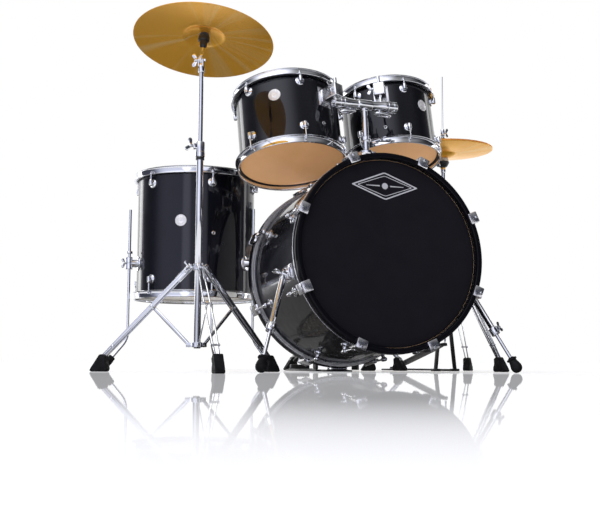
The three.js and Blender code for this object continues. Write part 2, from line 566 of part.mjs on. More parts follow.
// ---------------------------------------------------------------- snare drum and stand
function snareStand() {
  const top = SNARE.at[2];
  const bottomHoop = SNARE.radius + HOOP_FLANGE;
  const { tubeRadius, bore, tubeFoot, tubeTop, hip, ankle, footReach, brace, barOffset } = SNARE_STAND;
  const side = point(0, 1, 0);
  const tube = pipe(point(0, 0, tubeFoot), point(0, 0, tubeTop), tubeRadius, bore);
  const clamp = pipe(point(0, 0, tubeTop - 28), point(0, 0, tubeTop), tubeRadius + 4, bore);
  const hub = pipe(point(0, 0, hip[1] - 10), point(0, 0, hip[1] + 10), tubeRadius + 5, bore);
  const legs = SNARE.legAngles.flatMap((angle) => {
    const bars = [-1, 1].map((hand) => bar(point(hip[0], hand * barOffset, hip[1]),
      point(ankle[0], hand * barOffset, ankle[1]), TRIPOD.barWidth, TRIPOD.barThickness, side));
    const strut = bar(point(brace[0][0], 0, brace[0][1]), point(brace[1][0], 0, brace[1][1]), 10, 8, side);
    const foot = block(46, TRIPOD.footWidth, 40, point(footReach, 0, 20));
    return [...bars, strut, foot].map((shape) => shape.rotateZ(radians(angle)));
  });
  const arms = SNARE.legAngles.flatMap((angle) => {
    const tip = point(bottomHoop - 6, 0, top - 9);
    const arm = bar(point(6, 0, top - 58), tip, 14, 6, point(0, 1, 0));
    const claw = block(18, 20, 34, point(bottomHoop + 10, 0, top + 4));
    const shelf = block(32, 20, 8, point(bottomHoop + 2, 0, top - 9));
    return [arm, claw, shelf].map((shape) => shape.rotateZ(radians(angle)));
  });
  const hubHeight = top - SNARE_STAND.basketDrop;
  const basket = joined(rod(point(0, 0, 250), point(0, 0, hubHeight), bore - GAP),
    rod(point(0, 0, hubHeight - 14), point(0, 0, hubHeight + 14), SNARE_STAND.basketRadius, 18), ...arms);
  return group([SNARE.at[0], SNARE.at[1], 0],
    piece("snare_stand_base", joined(tube, clamp, hub, ...legs), CHROME),
    piece("snare_basket", basket, CHROME));
}

function snareDrum() {
  return group(SNARE.at, ...steelHoopDrum("snare", SNARE, null, WHITE_FILM));
}

// ---------------------------------------------------------------- bass drum pedal
function bassPedal() {
  const { axleY, axleZ, heelY, heelZ, toeY, toeZ, shaft, rest } = PEDAL;
  const { plateWidth, plateFront, plateThickness, postOffset, axleRadius, camRadius } = PEDAL;
  const plateBack = heelY + 34;
  const plate = block(plateWidth, plateBack - plateFront, plateThickness,
    point(0, (plateBack + plateFront) / 2, plateThickness / 2));
  const postHeight = axleZ + 14;
  const posts = [-1, 1].map((hand) =>
    block(9, 26, postHeight, point(hand * postOffset, axleY, postHeight / 2)));
  const feet = [-1, 1].map((hand) => block(22, 60, 6, point(hand * (postOffset - 1), axleY, 3)));
  const heelPost = block(70, 18, heelZ - 8, point(0, heelY + 12, (heelZ - 8) / 2));
  const bores = rod(point(-60, axleY, axleZ), point(60, axleY, axleZ), axleRadius + GAP, 12);
  const frame = cut(joined(plate, ...posts, ...feet, heelPost), bores);
  const slope = point(0, toeY - heelY, toeZ - heelZ).normalize();
  const normal = new THREE.Vector3().crossVectors(slope, point(-1, 0, 0)).normalize();
  const footboard = bar(point(0, heelY, heelZ), point(0, toeY, toeZ), PEDAL.boardWidth, 5, normal);
  const back = point(0, Math.sin(radians(rest)), Math.cos(radians(rest)));
  const axle = rod(point(-54, axleY, axleZ), point(54, axleY, axleZ), axleRadius, 12);
  const cam = rod(point(-8, axleY, axleZ), point(8, axleY, axleZ), camRadius, 18);
  const centre = point(0, axleY, axleZ);
  const stem = rod(centre, along(centre, back, shaft), 4, 10);
  const face = point(0, -back.z, back.y);
  const middle = along(centre, back, shaft);
  const head = rod(along(middle, face, -PEDAL.headHalf), along(middle, face, PEDAL.headHalf),
    PEDAL.headRadius, 18);
  return [
    piece("pedal_frame", frame, BLACK_METAL),
    piece("pedal_footboard", footboard, STEEL),
    piece("pedal_beater", joined(axle, cam, stem, head), FELT),
  ];
}

// ---------------------------------------------------------------- the kit
const kit = new THREE.Group();
kit.add(bassDrum(), ...spur("left", -1), ...spur("right", 1), holderPost(),
  holderArm("holder_arm_left", RACK_TOMS[0]), holderArm("holder_arm_right", RACK_TOMS[1]),
  ...RACK_TOMS.map(rackTom), floorTom(), crashStand(), hihat(), snareStand(), snareDrum(), ...bassPedal());

// The origin is on the floor, under the middle of the kit.
const extent = new THREE.Box3().setFromObject(kit, true);
const middle = extent.getCenter(new THREE.Vector3());
const placed = new THREE.Group();
kit.position.set(-middle.x, -middle.y, -extent.min.z);
placed.add(kit);

export default placed;
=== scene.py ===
"""The looks of an acoustic drum kit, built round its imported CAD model.

Every shape is written in millimetres and becomes metres when its mesh is made. Places come from the CAD nodes
and joints. A drum's own frame has Z along its axis; the bass drum's Z runs from front to back.
"""
import json
import math

import bmesh
import bpy
from mathutils import Matrix, Vector


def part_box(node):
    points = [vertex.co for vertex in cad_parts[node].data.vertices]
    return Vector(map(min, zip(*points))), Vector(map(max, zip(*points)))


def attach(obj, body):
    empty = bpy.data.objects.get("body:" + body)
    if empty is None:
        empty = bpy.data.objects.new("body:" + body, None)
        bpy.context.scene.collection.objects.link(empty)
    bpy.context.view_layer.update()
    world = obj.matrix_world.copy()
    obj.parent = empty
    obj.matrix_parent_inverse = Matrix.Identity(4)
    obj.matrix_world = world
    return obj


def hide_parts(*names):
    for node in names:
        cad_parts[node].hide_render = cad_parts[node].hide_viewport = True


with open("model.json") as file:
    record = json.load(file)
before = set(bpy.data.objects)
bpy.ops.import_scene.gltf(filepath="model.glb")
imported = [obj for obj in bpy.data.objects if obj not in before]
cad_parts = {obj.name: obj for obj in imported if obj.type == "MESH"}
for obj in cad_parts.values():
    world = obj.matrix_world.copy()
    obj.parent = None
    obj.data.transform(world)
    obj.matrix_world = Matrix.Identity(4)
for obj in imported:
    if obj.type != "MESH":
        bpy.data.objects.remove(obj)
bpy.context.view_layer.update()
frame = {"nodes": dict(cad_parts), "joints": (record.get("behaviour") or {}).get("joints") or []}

MM = 0.001
JOINTS = {joint["name"]: joint for joint in frame["joints"]}
SIDES = {"left": -1, "right": 1}

# ---------------------------------------------------------------- sizes shared by several pieces, in millimetres
SHELL_WALL = 7.5
WRAP = 0.8
HOOP_RISE = 15
HOOP_FLANGE = 13
ROD_OFFSET = 10.4
ROD_RADIUS = 2.7
BASS_HOOP_OUTER, BASS_HOOP_WALL, BASS_HOOP_WIDTH = 293.5, 9.5, 38
BASS_RADIUS = 279.4
BASS_BEARING = 19
FLANGE_AT = 22.8

# Stands and pedals: heights run from the floor, and places across from the part's middle.
BOOT_LENGTH = 20
ANKLE_HEIGHT = 36
CRASH_CLAMP = 44
HIHAT_COLLAR = (236, 256)
HIHAT_FRAME_FOOT = 45
SNARE_TUBE_TOP = 352
SNARE_HIP, SNARE_ANKLE = (18, 251), (236, 34)
PEDAL_POST = 47
PEDAL_SPRING = 60

# Profiles of the round lugs: (radius, height).
LUG_BARREL = ((0, -8.5), (3.6, -8.5), (5.6, -7.2), (6.3, -5), (6.3, 8), (5.7, 12.4), (4.6, 14.6), (3.4, 15.2),
              (0, 15.2))
TOM_LUG_BASE = ((0, -1.6), (14.6, -1.6), (15, 0.8), (14.4, 2.8), (12, 4.4), (8, 5), (6, 6.4))
BASS_LUG_BASE = ((0, -1.2), (13.6, -1.2), (13.9, 1.0), (13.2, 3.0), (11, 4.4), (7.4, 5), (5.8, 6.4), (5.2, 8.0))


# ---------------------------------------------------------------- reading the CAD model
def points(node):
    """A CAD node's corners, in millimetres."""
    return [v.co / MM for v in frame["nodes"][node].data.vertices]


def centre(node):
    corners = points(node)
    return sum(corners, Vector()) / len(corners)


def span(node, origin, direction):
    """How far a node reaches along a direction from an origin: lowest and highest."""
    reach = [(p - origin).dot(direction) for p in points(node)]
    return min(reach), max(reach)


def girth(node, origin, direction):
    """The largest distance of a node's corners from an axis."""
    return max(((p - origin) - direction * (p - origin).dot(direction)).length for p in points(node))


def low(node):
    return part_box(node)[0] / MM


def high(node):
    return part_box(node)[1] / MM


def joint_at(name):
    return Vector(JOINTS[name]["pos_m"]) / MM


def joint_axis(name):
    return Vector(JOINTS[name]["axis"]).normalized()


# ---------------------------------------------------------------- frames and paths
def axes(origin, z=(0, 0, 1), x=(1, 0, 0)):
    """A frame at origin with Z along z, and X as near to x as it can be."""
    z = Vector(z).normalized()
    x = Vector(x)
    x = x - z * z.dot(x)
    if x.length < 1e-4:
        x = z.orthogonal()
    x.normalize()
    matrix = Matrix((x, z.cross(x), z)).transposed().to_4x4()
    matrix.translation = Vector(origin)
    return matrix


def polar(radius, degrees, z=0.0):
    angle = math.radians(degrees)
    return Vector((radius * math.cos(angle), radius * math.sin(angle), z))


def radial(degrees, radius, height):
    """A frame on a drum's side: Z points outward and X along the drum's axis."""
    return axes(polar(radius, degrees, height), z=polar(1, degrees), x=(0, 0, 1))


def shift(x, y, z):
    return Matrix.Translation((x, y, z))


def spin(degrees):
    return Matrix.Rotation(math.radians(degrees), 4, "Z")


def flipped(at, height):
    """The frame at a height above another, upside down."""
    return at @ shift(0, 0, height) @ Matrix.Rotation(math.pi, 4, "X")


def upright(at):
    """The same frame, turned so that a slab's outline stands in the XZ plane and its thickness lies along Y."""
    return at @ Matrix.Rotation(math.pi / 2, 4, "X")


def around(first, count=6):
    return [first + 360 * i / count for i in range(count)]


def arc(cx, cy, radius, start, end, steps=6):
    """Points round an arc, in degrees."""
    angles = [math.radians(start + (end - start) * i / steps) for i in range(steps + 1)]
    return [(cx + radius * math.cos(a), cy + radius * math.sin(a)) for a in angles]


def corner_curve(before, corner, after, radius, share, steps):
    """The points of a rounded corner, which takes no more than a share of the lines on either side."""
    reach = min(radius, (before - corner).length / share, (after - corner).length / share)
    start = corner + (before - corner).normalized() * reach
    end = corner + (after - corner).normalized() * reach
    return [start * (1 - t) ** 2 + corner * 2 * t * (1 - t) + end * t * t
            for t in (i / steps for i in range(steps + 1))]


def eased(path, radius, steps=6):
    """The same path with each inner corner rounded off."""
    path = [Vector(p) for p in path]
    corners = [corner_curve(*three, radius, 2, steps) for three in zip(path, path[1:], path[2:])]
    return [path[0]] + sum(corners, []) + [path[-1]]


def rounded(outline, radius, steps=4):
    """A closed outline with its corners rounded."""
    loop = [Vector(p) for p in outline]
    corners = zip(loop[-1:] + loop[:-1], loop, loop[1:] + loop[:1])
    return sum((corner_curve(*three, radius, 2.1, steps) for three in corners), [])


# ---------------------------------------------------------------- profiles of turned parts: (radius, height)
def bar(radius, low_end, high_end, bore=0):
    return [(bore, low_end), (radius, low_end), (radius, high_end), (bore, high_end)]


def cuff(bore, radius, low_end, high_end, inset=1.0, drop=1.0):
    """A ring or a disc with chamfered outer corners: inset across and drop along the axis."""
    return [(bore, low_end), (radius - inset, low_end), (radius, low_end + drop), (radius, high_end - drop),
            (radius - inset, high_end), (bore, high_end)]


def button(radius, rise, crown, dome=1.0):
    """A domed screw head."""
    return [(0, 0), (radius, 0), (radius - 0.2, rise), (crown, rise + dome), (0, rise + dome + 0.2)]


def scaled(profile, size):
    return [(radius * size, height * size) for radius, height in profile]


# ---------------------------------------------------------------- mesh code
class Shape:
    """Closed forms gathered into one mesh."""

    def __init__(self):
        self.verts = []
        self.faces = []

    def add(self, verts, faces, matrix=None):
        start = len(self.verts)
        matrix = matrix or Matrix.Identity(4)
        self.verts += [matrix @ Vector(v) for v in verts]
        self.faces += [[start + i for i in face] for face in faces]
        return self

    def join(self, other, matrix=None):
        return self.add(other.verts, other.faces, matrix)

    def bent(self, radius):
        """Bends what lies flat on Z = 0 round a drum whose axis runs along X."""
        for v in self.verts:
            v.z -= radius - math.sqrt(radius ** 2 - v.y ** 2)
        return self

    def turned(self, profile, sides=48, matrix=None, lift=0.0):
        """A profile of (radius, height) about Z, lifted. It starts and ends on the axis, or closes on itself."""
        verts, rings = [], []
        for radius, height in ((radius, lift + height) for radius, height in profile):
            if radius < 1e-6:
                rings.append([len(verts)] * sides)
                verts.append((0, 0, height))
            else:
                rings.append(list(range(len(verts), len(verts) + sides)))
                verts += [tuple(polar(radius, 360 * i / sides, height)) for i in range(sides)]
        loops = list(zip(rings, rings[1:]))
        if profile[0][0] > 1e-6:
            loops.append((rings[-1], rings[0]))
        faces = []
        for a, b in loops:
            for i in range(sides):
                j = (i + 1) % sides
                corners = list(dict.fromkeys((a[i], a[j], b[j], b[i])))
                if len(corners) > 2:
                    faces.append(corners)
        return self.add(verts, faces, matrix)

    def tube(self, path, radius, sides=14, matrix=None, flat=1.0, width_axis=None, edge=0.6):
        """A rod along a path, with chamfered ends. flat squeezes its section across width_axis."""
        path = [Vector(p) for p in path]
        edge = min(edge, radius * 0.4)
        first = (path[1] - path[0]).normalized()
        last = (path[-1] - path[-2]).normalized()
        stations = [(path[0], radius - edge), (path[0] + first * edge, radius)]
        stations += [(p, radius) for p in path[1:-1]]
        stations += [(path[-1] - last * edge, radius), (path[-1], radius - edge)]
        side = (Vector(width_axis) if width_axis else first.orthogonal()).normalized()
        verts, faces = [], []
        for i, (point, r) in enumerate(stations):
            before = stations[max(i - 1, 0)][0]
            after = stations[min(i + 1, len(stations) - 1)][0]
            along = (after - before).normalized()
            side = (side - along * side.dot(along)).normalized()
            other = along.cross(side)
            for k in range(sides):
                a = 2 * math.pi * k / sides
                verts.append(point + side * (r * math.cos(a)) + other * (r * flat * math.sin(a)))
        for i in range(len(stations) - 1):
            for k in range(sides):
                m = (k + 1) % sides
                faces.append([i * sides + k, i * sides + m, (i + 1) * sides + m, (i + 1) * sides + k])
        faces.append(list(range(sides))[::-1])
        faces.append([(len(stations) - 1) * sides + k for k in range(sides)])
        return self.add(verts, faces, matrix)

    def _from_bmesh(self, bm, matrix):
        bm.verts.ensure_lookup_table()
        verts = [v.co.copy() for v in bm.verts]
        faces = [[v.index for v in f.verts] for f in bm.faces]
        bm.free()
        return self.add(verts, faces, matrix)

    def box(self, size, at=(0, 0, 0), matrix=None, edge=1.0, steps=2):
        """A block with rounded edges."""
        bm = bmesh.new()
        bmesh.ops.create_cube(bm, size=1.0)
        for v in bm.verts:
            v.co = Vector((v.co.x * size[0], v.co.y * size[1], v.co.z * size[2])) + Vector(at)
        bmesh.ops.bevel(bm, geom=bm.edges[:], offset=min(edge, min(size) * 0.45), segments=steps,
                        profile=0.5, affect="EDGES")
        bm.verts.index_update()
        return self._from_bmesh(bm, matrix)

    def slab(self, outline, thickness, matrix=None, edge=0.8, steps=2):
        """An outline in the XY plane, given thickness evenly about Z = 0, with its rims rounded."""
        bm = bmesh.new()
        base = [bm.verts.new((x, y, -thickness / 2)) for x, y in outline]
        face = bm.faces.new(base)
        top = bmesh.ops.extrude_face_region(bm, geom=[face])["geom"]
        for v in top:
            if isinstance(v, bmesh.types.BMVert):
                v.co.z = thickness / 2
        rims = [e for e in bm.edges if abs(e.verts[0].co.z - e.verts[1].co.z) < 1e-6]
        bmesh.ops.bevel(bm, geom=rims, offset=min(edge, thickness * 0.4), segments=steps, profile=0.5,
                        affect="EDGES", clamp_overlap=True)
        bm.verts.index_update()
        return self._from_bmesh(bm, matrix)

    def wing(self, matrix, size=1.0, stem=8.0):
        """A wing screw: Z points away from what it clamps, and the wings spread along X."""
        shaft = [(0, 0), (4, 0), (4, stem), (5.5, stem + 1), (5.5, stem + 8), (4.5, stem + 9.5), (0, stem + 9.5)]
        self.turned(scaled(shaft, size), 20, matrix)
        for hand, start, end in ((-1, 240, 60), (1, -60, 120)):
            tip = arc(hand * 13, stem + 11, 6.0, start, end, 10)
            ear = [(0, stem + 2), (hand * 7, stem + 2.5)] + tip + [(0, stem + 8)]
            self.slab(scaled(ear, size), 3.4 * size, upright(matrix), edge=1.2 * size)
        return self


def piece(name, shape, look, body, slot, replaces=(), smooth=38, at=None):
    """Makes a mesh object from a shape. at is the frame that the shape is written in, kept as the object's own."""
    mesh = bpy.data.meshes.new(name)
    mesh.from_pydata([v * MM for v in shape.verts], [], shape.faces)
    bm = bmesh.new()
    bm.from_mesh(mesh)
    bmesh.ops.recalc_face_normals(bm, faces=bm.faces[:])
    bm.to_mesh(mesh)
    bm.free()
    mesh.shade_smooth()
    mesh.set_sharp_from_angle(angle=math.radians(smooth))
    mesh.materials.append(look)
    made = bpy.data.objects.new(name, mesh)
    bpy.context.scene.collection.objects.link(made)
    if at is not None:
        placed = at.copy()
        placed.translation = at.translation * MM
        made.matrix_world = placed
    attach(made, body)
    if replaces:
        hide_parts(*replaces)
    return made


# ---------------------------------------------------------------- materials
def wire(tree, kind, inputs, output=0, **settings):
    """A shader node's output socket. Each input is a value, or the socket that feeds it."""
    made = tree.nodes.new(kind)
    for key, value in settings.items():
        setattr(made, key, value)
    for key, value in inputs.items():
        if isinstance(value, bpy.types.NodeSocket):
            tree.links.new(value, made.inputs[key])
        else:
            made.inputs[key].default_value = value
    return made.outputs[output]


class Look:
    """A principled material, with helpers that drive its sockets from procedural textures."""

    def __init__(self, name, colour, roughness, metallic=0.0, **sockets):
        self.material = bpy.data.materials.new(name)
        self.material.use_nodes = True
        self.tree = self.material.node_tree
        self.shader = self.tree.nodes["Principled BSDF"]
        values = {"Base Color": (*colour, 1.0), "Roughness": roughness, "Metallic": metallic}
        values.update({key.replace("_", " "): value for key, value in sockets.items()})
        for key, value in values.items():
            self.shader.inputs[key].default_value = value
        self.place = self.wire("ShaderNodeTexCoord", {}, "Object")

    def wire(self, kind, inputs, output=0, **settings):
        return wire(self.tree, kind, inputs, output, **settings)

    def drive(self, socket, source):
        self.tree.links.new(source, self.shader.inputs[socket])
        return self

    def noise(self, scale, detail=4.0, stretch=(1, 1, 1), distortion=0.0):
        stretched = self.wire("ShaderNodeMapping", {"Scale": stretch, "Vector": self.place}, "Vector")
        return self.wire("ShaderNodeTexNoise", {"Scale": scale, "Detail": detail, "Distortion": distortion,
                                                "Vector": stretched}, "Fac")

    def streaks(self, scale, detail=3.0):
        """A pattern that changes only round the object's own Z axis, so it runs out from the middle in rays: the mask
        of a cymbal's painted highlight rays.
        """
        flat = self.wire("ShaderNodeVectorMath", {0: self.place, 1: (1, 1, 0)}, "Vector", operation="MULTIPLY")
        ray = self.wire("ShaderNodeVectorMath", {0: flat}, "Vector", operation="NORMALIZE")
        return self.wire("ShaderNodeTexNoise", {"Scale": scale, "Detail": detail, "Vector": ray}, "Fac")

    def lathe_rings(self, scale, distortion=0.0, detail=2.0):
        return self.wire("ShaderNodeTexWave", {"Scale": scale, "Distortion": distortion, "Detail": detail,
                                               "Vector": self.place}, "Fac", wave_type="RINGS", rings_direction="Z")

    def roughen(self, source, smoothest, roughest, start=0.3, end=0.7):
        return self.drive("Roughness", self.wire("ShaderNodeMapRange", {
            "Value": source, "From Min": start, "From Max": end, "To Min": smoothest, "To Max": roughest}, "Result"))

    def tint(self, source, first, second, start=0.3, end=0.7):
        ramp = self.tree.nodes.new("ShaderNodeValToRGB")
        for element, position, colour in zip(ramp.color_ramp.elements, (start, end), (first, second)):
            element.position = position
            element.color = (*colour, 1)
        self.tree.links.new(source, ramp.inputs["Fac"])
        return self.drive("Base Color", ramp.outputs["Color"])

    def bump(self, source, strength, depth_mm):
        inputs = {"Strength": strength, "Distance": depth_mm * MM, "Height": source}
        for link in self.shader.inputs["Normal"].links:
            inputs["Normal"] = link.from_socket
        return self.drive("Normal", self.wire("ShaderNodeBump", inputs, "Normal"))


def lacquer():
    """Black gloss wrap under a clear coat, with a faint orange peel."""
    look = Look("black_lacquer", (0.0035, 0.0036, 0.0050), 0.35, Coat_Weight=0.9, Coat_Roughness=0.05,
                Coat_IOR=1.44, Specular_IOR_Level=0.08, Specular_Tint=(0.35, 0.4, 1.0, 1.0))
    look.tint(look.noise(9, 3), (0.0028, 0.0029, 0.0040), (0.0052, 0.0054, 0.0078))
    look.roughen(look.noise(34, 5), 0.28, 0.42)
    look.bump(look.noise(95, 2), 0.05, 0.35)
    return look.material


def hoop_lacquer():
    """Black lacquer on bent maple, a little uneven in its gloss."""
    look = Look("hoop_lacquer", (0.005, 0.005, 0.007), 0.3, Coat_Weight=0.4, Coat_Roughness=0.05,
                Coat_IOR=1.34, Specular_IOR_Level=0.0)
    look.roughen(look.noise(26, 5), 0.2, 0.36)
    return look.material


def chrome():
    look = Look("chrome", (0.76, 0.77, 0.80), 0.06, 1.0)
    look.roughen(look.noise(42, 6), 0.035, 0.12)
    look.bump(look.noise(130, 2), 0.03, 0.25)
    return look.material


def cast_chrome():
    """Satin chrome on a die casting: brighter, softer and a little uneven."""
    look = Look("cast_chrome", (0.90, 0.90, 0.92), 0.2, 1.0)
    look.tint(look.noise(30, 4), (0.74, 0.74, 0.77), (0.88, 0.88, 0.90))
    look.roughen(look.noise(60, 6), 0.12, 0.3)
    look.bump(look.noise(300, 4), 0.1, 0.2)
    return look.material


def steel():
    """Brushed steel, with its brush marks along Z."""
    look = Look("brushed_steel", (0.62, 0.63, 0.66), 0.3, 1.0)
    look.roughen(look.noise(300, 5, (1, 1, 0.05)), 0.2, 0.42)
    look.bump(look.noise(420, 4, (1, 1, 0.04)), 0.12, 0.12)
    return look.material


def aluminium():
    """The badges: pale brushed metal."""
    look = Look("aluminium", (0.86, 0.85, 0.84), 0.34, 0.5)
    look.tint(look.noise(240, 4, (1, 1, 0.1)), (0.80, 0.79, 0.79), (0.96, 0.95, 0.94))
    look.roughen(look.noise(260, 5, (1, 1, 0.1)), 0.26, 0.44)
    return look.material


def cymbal_brass():
    """Bright cymbal bronze, lathed in fine rings, with broad uneven rays of painted highlight and a faint painted
    glow.
    """
    # The emission is a faint painted orange glow that brightens the bronze.
    look = Look("cymbal_brass", (0.80, 0.53, 0.19), 0.3, 0.8, Anisotropic=0.7, Emission_Strength=0.07,
                Emission_Color=(1.0, 0.42, 0.04, 1.0))
    # Paler rays of painted highlight run out from the bell in the base colour.
    look.tint(look.streaks(5.5, 3), (1.0, 0.52, 0.06), (1.0, 0.72, 0.30), 0.52, 0.78)
    look.roughen(look.lathe_rings(120, 1.2, 4), 0.24, 0.31, 0.1, 0.9)
    look.bump(look.lathe_rings(150, 0.6), 0.06, 0.1)
    look.bump(look.noise(14, 2), 0.1, 0.9)
    look.drive("Tangent", look.wire("ShaderNodeTangent", {}, "Tangent", direction_type="RADIAL", axis="Z"))
    return look.material


def film(name, colour, second, roughness, alpha=1.0, texture=0.0, shine=0.5, glow=0.0):
    """A drumhead. glow stands for the daylight that comes through a clear one."""
    look = Look(name, colour, roughness, Alpha=alpha, Specular_IOR_Level=shine, Emission_Strength=glow,
                Emission_Color=(*second, 1))
    look.tint(look.noise(14, 4), colour, second)
    look.roughen(look.noise(40, 4), roughness * 0.8, roughness * 1.3)
    if texture:
        look.bump(look.noise(900, 3), texture, 0.15)
    return look.material


def maple():
    """Clear-lacquered pale ply: the grain runs round the shell."""
    look = Look("maple", (0.66, 0.43, 0.24), 0.4, Coat_Weight=0.25, Coat_Roughness=0.2)
    look.tint(look.noise(30, 6, (0.25, 0.25, 5), 0.4), (0.56, 0.34, 0.17), (0.76, 0.53, 0.31), 0.25, 0.75)
    look.roughen(look.noise(70, 4), 0.32, 0.5)
    look.bump(look.noise(120, 5, (0.2, 0.2, 3)), 0.1, 0.3)
    return look.material


def rubber():
    look = Look("rubber", (0.007, 0.007, 0.008), 0.6, Specular_IOR_Level=0.16)
    look.tint(look.noise(55, 4), (0.005, 0.005, 0.006), (0.012, 0.012, 0.013))
    look.roughen(look.noise(90, 5), 0.42, 0.74)
    look.bump(look.noise(420, 4), 0.25, 0.25)
    return look.material


def black_metal():
    """Black powder coat."""
    look = Look("black_metal", (0.012, 0.012, 0.013), 0.4, Coat_Weight=0.3, Coat_Roughness=0.3)
    look.tint(look.noise(38, 4), (0.010, 0.010, 0.011), (0.022, 0.022, 0.024))
    look.roughen(look.noise(75, 5), 0.3, 0.5)
    look.bump(look.noise(520, 3), 0.12, 0.15)
    return look.material


def black_plastic():
    look = Look("black_plastic", (0.013, 0.013, 0.014), 0.38)
    look.tint(look.noise(28, 3), (0.010, 0.010, 0.011), (0.02, 0.02, 0.022))
    look.roughen(look.noise(110, 4), 0.3, 0.46)
    look.bump(look.noise(260, 3), 0.06, 0.15)
    return look.material


def felt(name, dark, light):
    look = Look(name, light, 0.95, Sheen_Weight=0.3, Sheen_Roughness=0.6)
    look.tint(look.noise(180, 6), dark, light)
    look.bump(look.noise(700, 6), 0.7, 0.6)
    return look.material


LACQUER = lacquer()
HOOP_LACQUER = hoop_lacquer()
CHROME = chrome()
CAST = cast_chrome()
STEEL = steel()
ALUMINIUM = aluminium()
BRASS = cymbal_brass()
MAPLE = maple()
RUBBER = rubber()
BLACK_METAL = black_metal()
PLASTIC = black_plastic()
FELT = felt("felt", (0.40, 0.37, 0.32), (0.66, 0.63, 0.56))
DARK_FELT = felt("dark_felt", (0.007, 0.007, 0.008), (0.022, 0.021, 0.021))
COATED = film("coated_film", (0.80, 0.79, 0.75), (0.86, 0.85, 0.82), 0.5, texture=0.35)
AMBER = film("amber_film", (0.74, 0.42, 0.19), (0.80, 0.46, 0.215), 0.12, alpha=0.86, shine=0.3, glow=0.22)
CREAM = film("cream_film", (0.74, 0.68, 0.58), (0.80, 0.75, 0.66), 0.2)
BLACK_FILM = film("black_film", (0.0104, 0.0096, 0.0128), (0.0120, 0.0111, 0.0146), 0.45, shine=0.08)
PRINT = film("silver_print", (0.55, 0.55, 0.57), (0.66, 0.66, 0.68), 0.35)


# ---------------------------------------------------------------- drums with steel hoops
class Drum:
    """A drum's frame and sizes, read from its CAD nodes. Heights run from the bottom hoop's free edge."""

    def __init__(self, name, body):
        self.name = name
        self.body = body
        bottom = centre(f"{name}_bottom_head")
        self.axis = (centre(f"{name}_top_head") - bottom).normalized()
        lowest, _ = span(f"{name}_bottom_hoop", bottom, self.axis)
        _, highest = span(f"{name}_top_hoop", bottom, self.axis)
        self.height = highest - lowest
        self.radius = girth(f"{name}_top_hoop", bottom, self.axis) - HOOP_FLANGE
        self.outer = self.radius - 1.6
        self.frame = axes(bottom + self.axis * lowest, self.axis)

    def ends(self):
        """The two ends, each with its frame: Z runs from that end's free hoop edge into the drum."""
        return (("bottom", self.frame), ("top", flipped(self.frame, self.height)))

    def piece(self, part, shape, look, slot, replaces=(), at=None, smooth=38):
        nodes = [f"{self.name}_{node}" for node in replaces]
        return piece(f"{self.name}_{part}", shape, look, self.body, slot, nodes, smooth, at or self.frame)


def shell_profiles(outer, start, end):
    """The wrap, and the ply cylinder with its bearing edges, between two heights."""
    skin, inner = outer - WRAP, outer - SHELL_WALL
    wrap = [(skin, start + 5), (outer, start + 5.5), (outer, end - 5.5), (skin, end - 5)]
    ply = [(inner, start + 4), (inner + 3.4, start), (skin - 1.5, start + 2.6), (skin - 0.05, start + 4.6),
           (skin - 0.05, end - 4.6), (skin - 1.5, end - 2.6), (inner + 3.4, end), (inner, end - 4)]
    return wrap, ply


def shell(drum):
    wrap, ply = shell_profiles(drum.outer, HOOP_RISE, drum.height - HOOP_RISE)
    drum.piece("shell_wrap", Shape().turned(wrap, 96), LACQUER, "black_lacquer", ["shell"])
    drum.piece("shell_ply", Shape().turned(ply, 96), MAPLE, "natural_wood")


def steel_hoop(drum, end, at):
    """A triple-flanged hoop: a rolled free edge, a wall, and a flange that the rods pull on."""
    steel_t, roll = 1.7, 3.2
    wall = drum.radius + 3.8
    face = wall + steel_t
    free = drum.radius + 8.6
    flange = drum.radius + HOOP_FLANGE + 1.2
    curl = [(wall + roll - roll * math.cos(a), roll - roll * math.sin(a)) for a in (0.35, 0.8, 1.2, math.pi / 2)]
    outer = [(wall, roll)] + curl + [(free, 0), (free + 0.7, steel_t / 2), (free, steel_t)]
    inner = [(face + 1.6, steel_t), (face + 0.5, steel_t + 0.6), (face, steel_t + 1.9)]
    back = [(face, -2.4), (face + 0.6, -0.6), (face + 1.8, 0), (flange - 0.6, 0), (flange, steel_t / 2),
            (flange - 0.6, steel_t), (wall + 1.5, steel_t), (wall + 0.4, 0.8), (wall, -0.4)]
    profile = outer + inner + [(radius, FLANGE_AT + height) for radius, height in back]
    drum.piece(f"{end}_hoop", Shape().turned(profile, 128), CHROME, "chrome", [f"{end}_hoop"], at, smooth=50)


def head(drum, end, at, look, slot):
    """A thin film over the bearing edge, and the dark collar that holds it."""
    r, rest = drum.radius, HOOP_RISE - 0.5
    skin = [(0, -0.3), (r - 9, -0.3), (r - 5.5, -0.2), (r - 3.2, 0.9), (r - 1.4, 3.2), (r - 1.0, 7), (r - 1.3, 7),
            (r - 1.7, 3.4), (r - 3.5, 1.3), (r - 5.6, 0.1), (r - 9, 0), (0, 0)]
    ring = [(r - 1.2, 0.2), (r + 0.4, -0.6), (r + 3.0, -0.4), (r + 3.2, 6.5), (r + 2.6, 7.3), (r - 0.8, 7.3)]
    drum.piece(f"{end}_head", Shape().turned(skin, 96, lift=rest), look, slot, [f"{end}_head"], at)
    drum.piece(f"{end}_head_collar", Shape().turned(ring, 96, lift=rest), PLASTIC, "black_film", at=at)


def lug(shape, spot, base, neck, reach, toward, size=1.0):
    """A round lug: a domed base, a neck, and a barrel that takes the key rod, on a frame with Z outward."""
    shape.turned(scaled(base, size) + [(neck * size, reach), (0, reach)], 28, spot)
    shape.turned(scaled(LUG_BARREL, size), 24, spot @ axes((0, 0, reach), (toward, 0, 0), (0, 0, 1)))


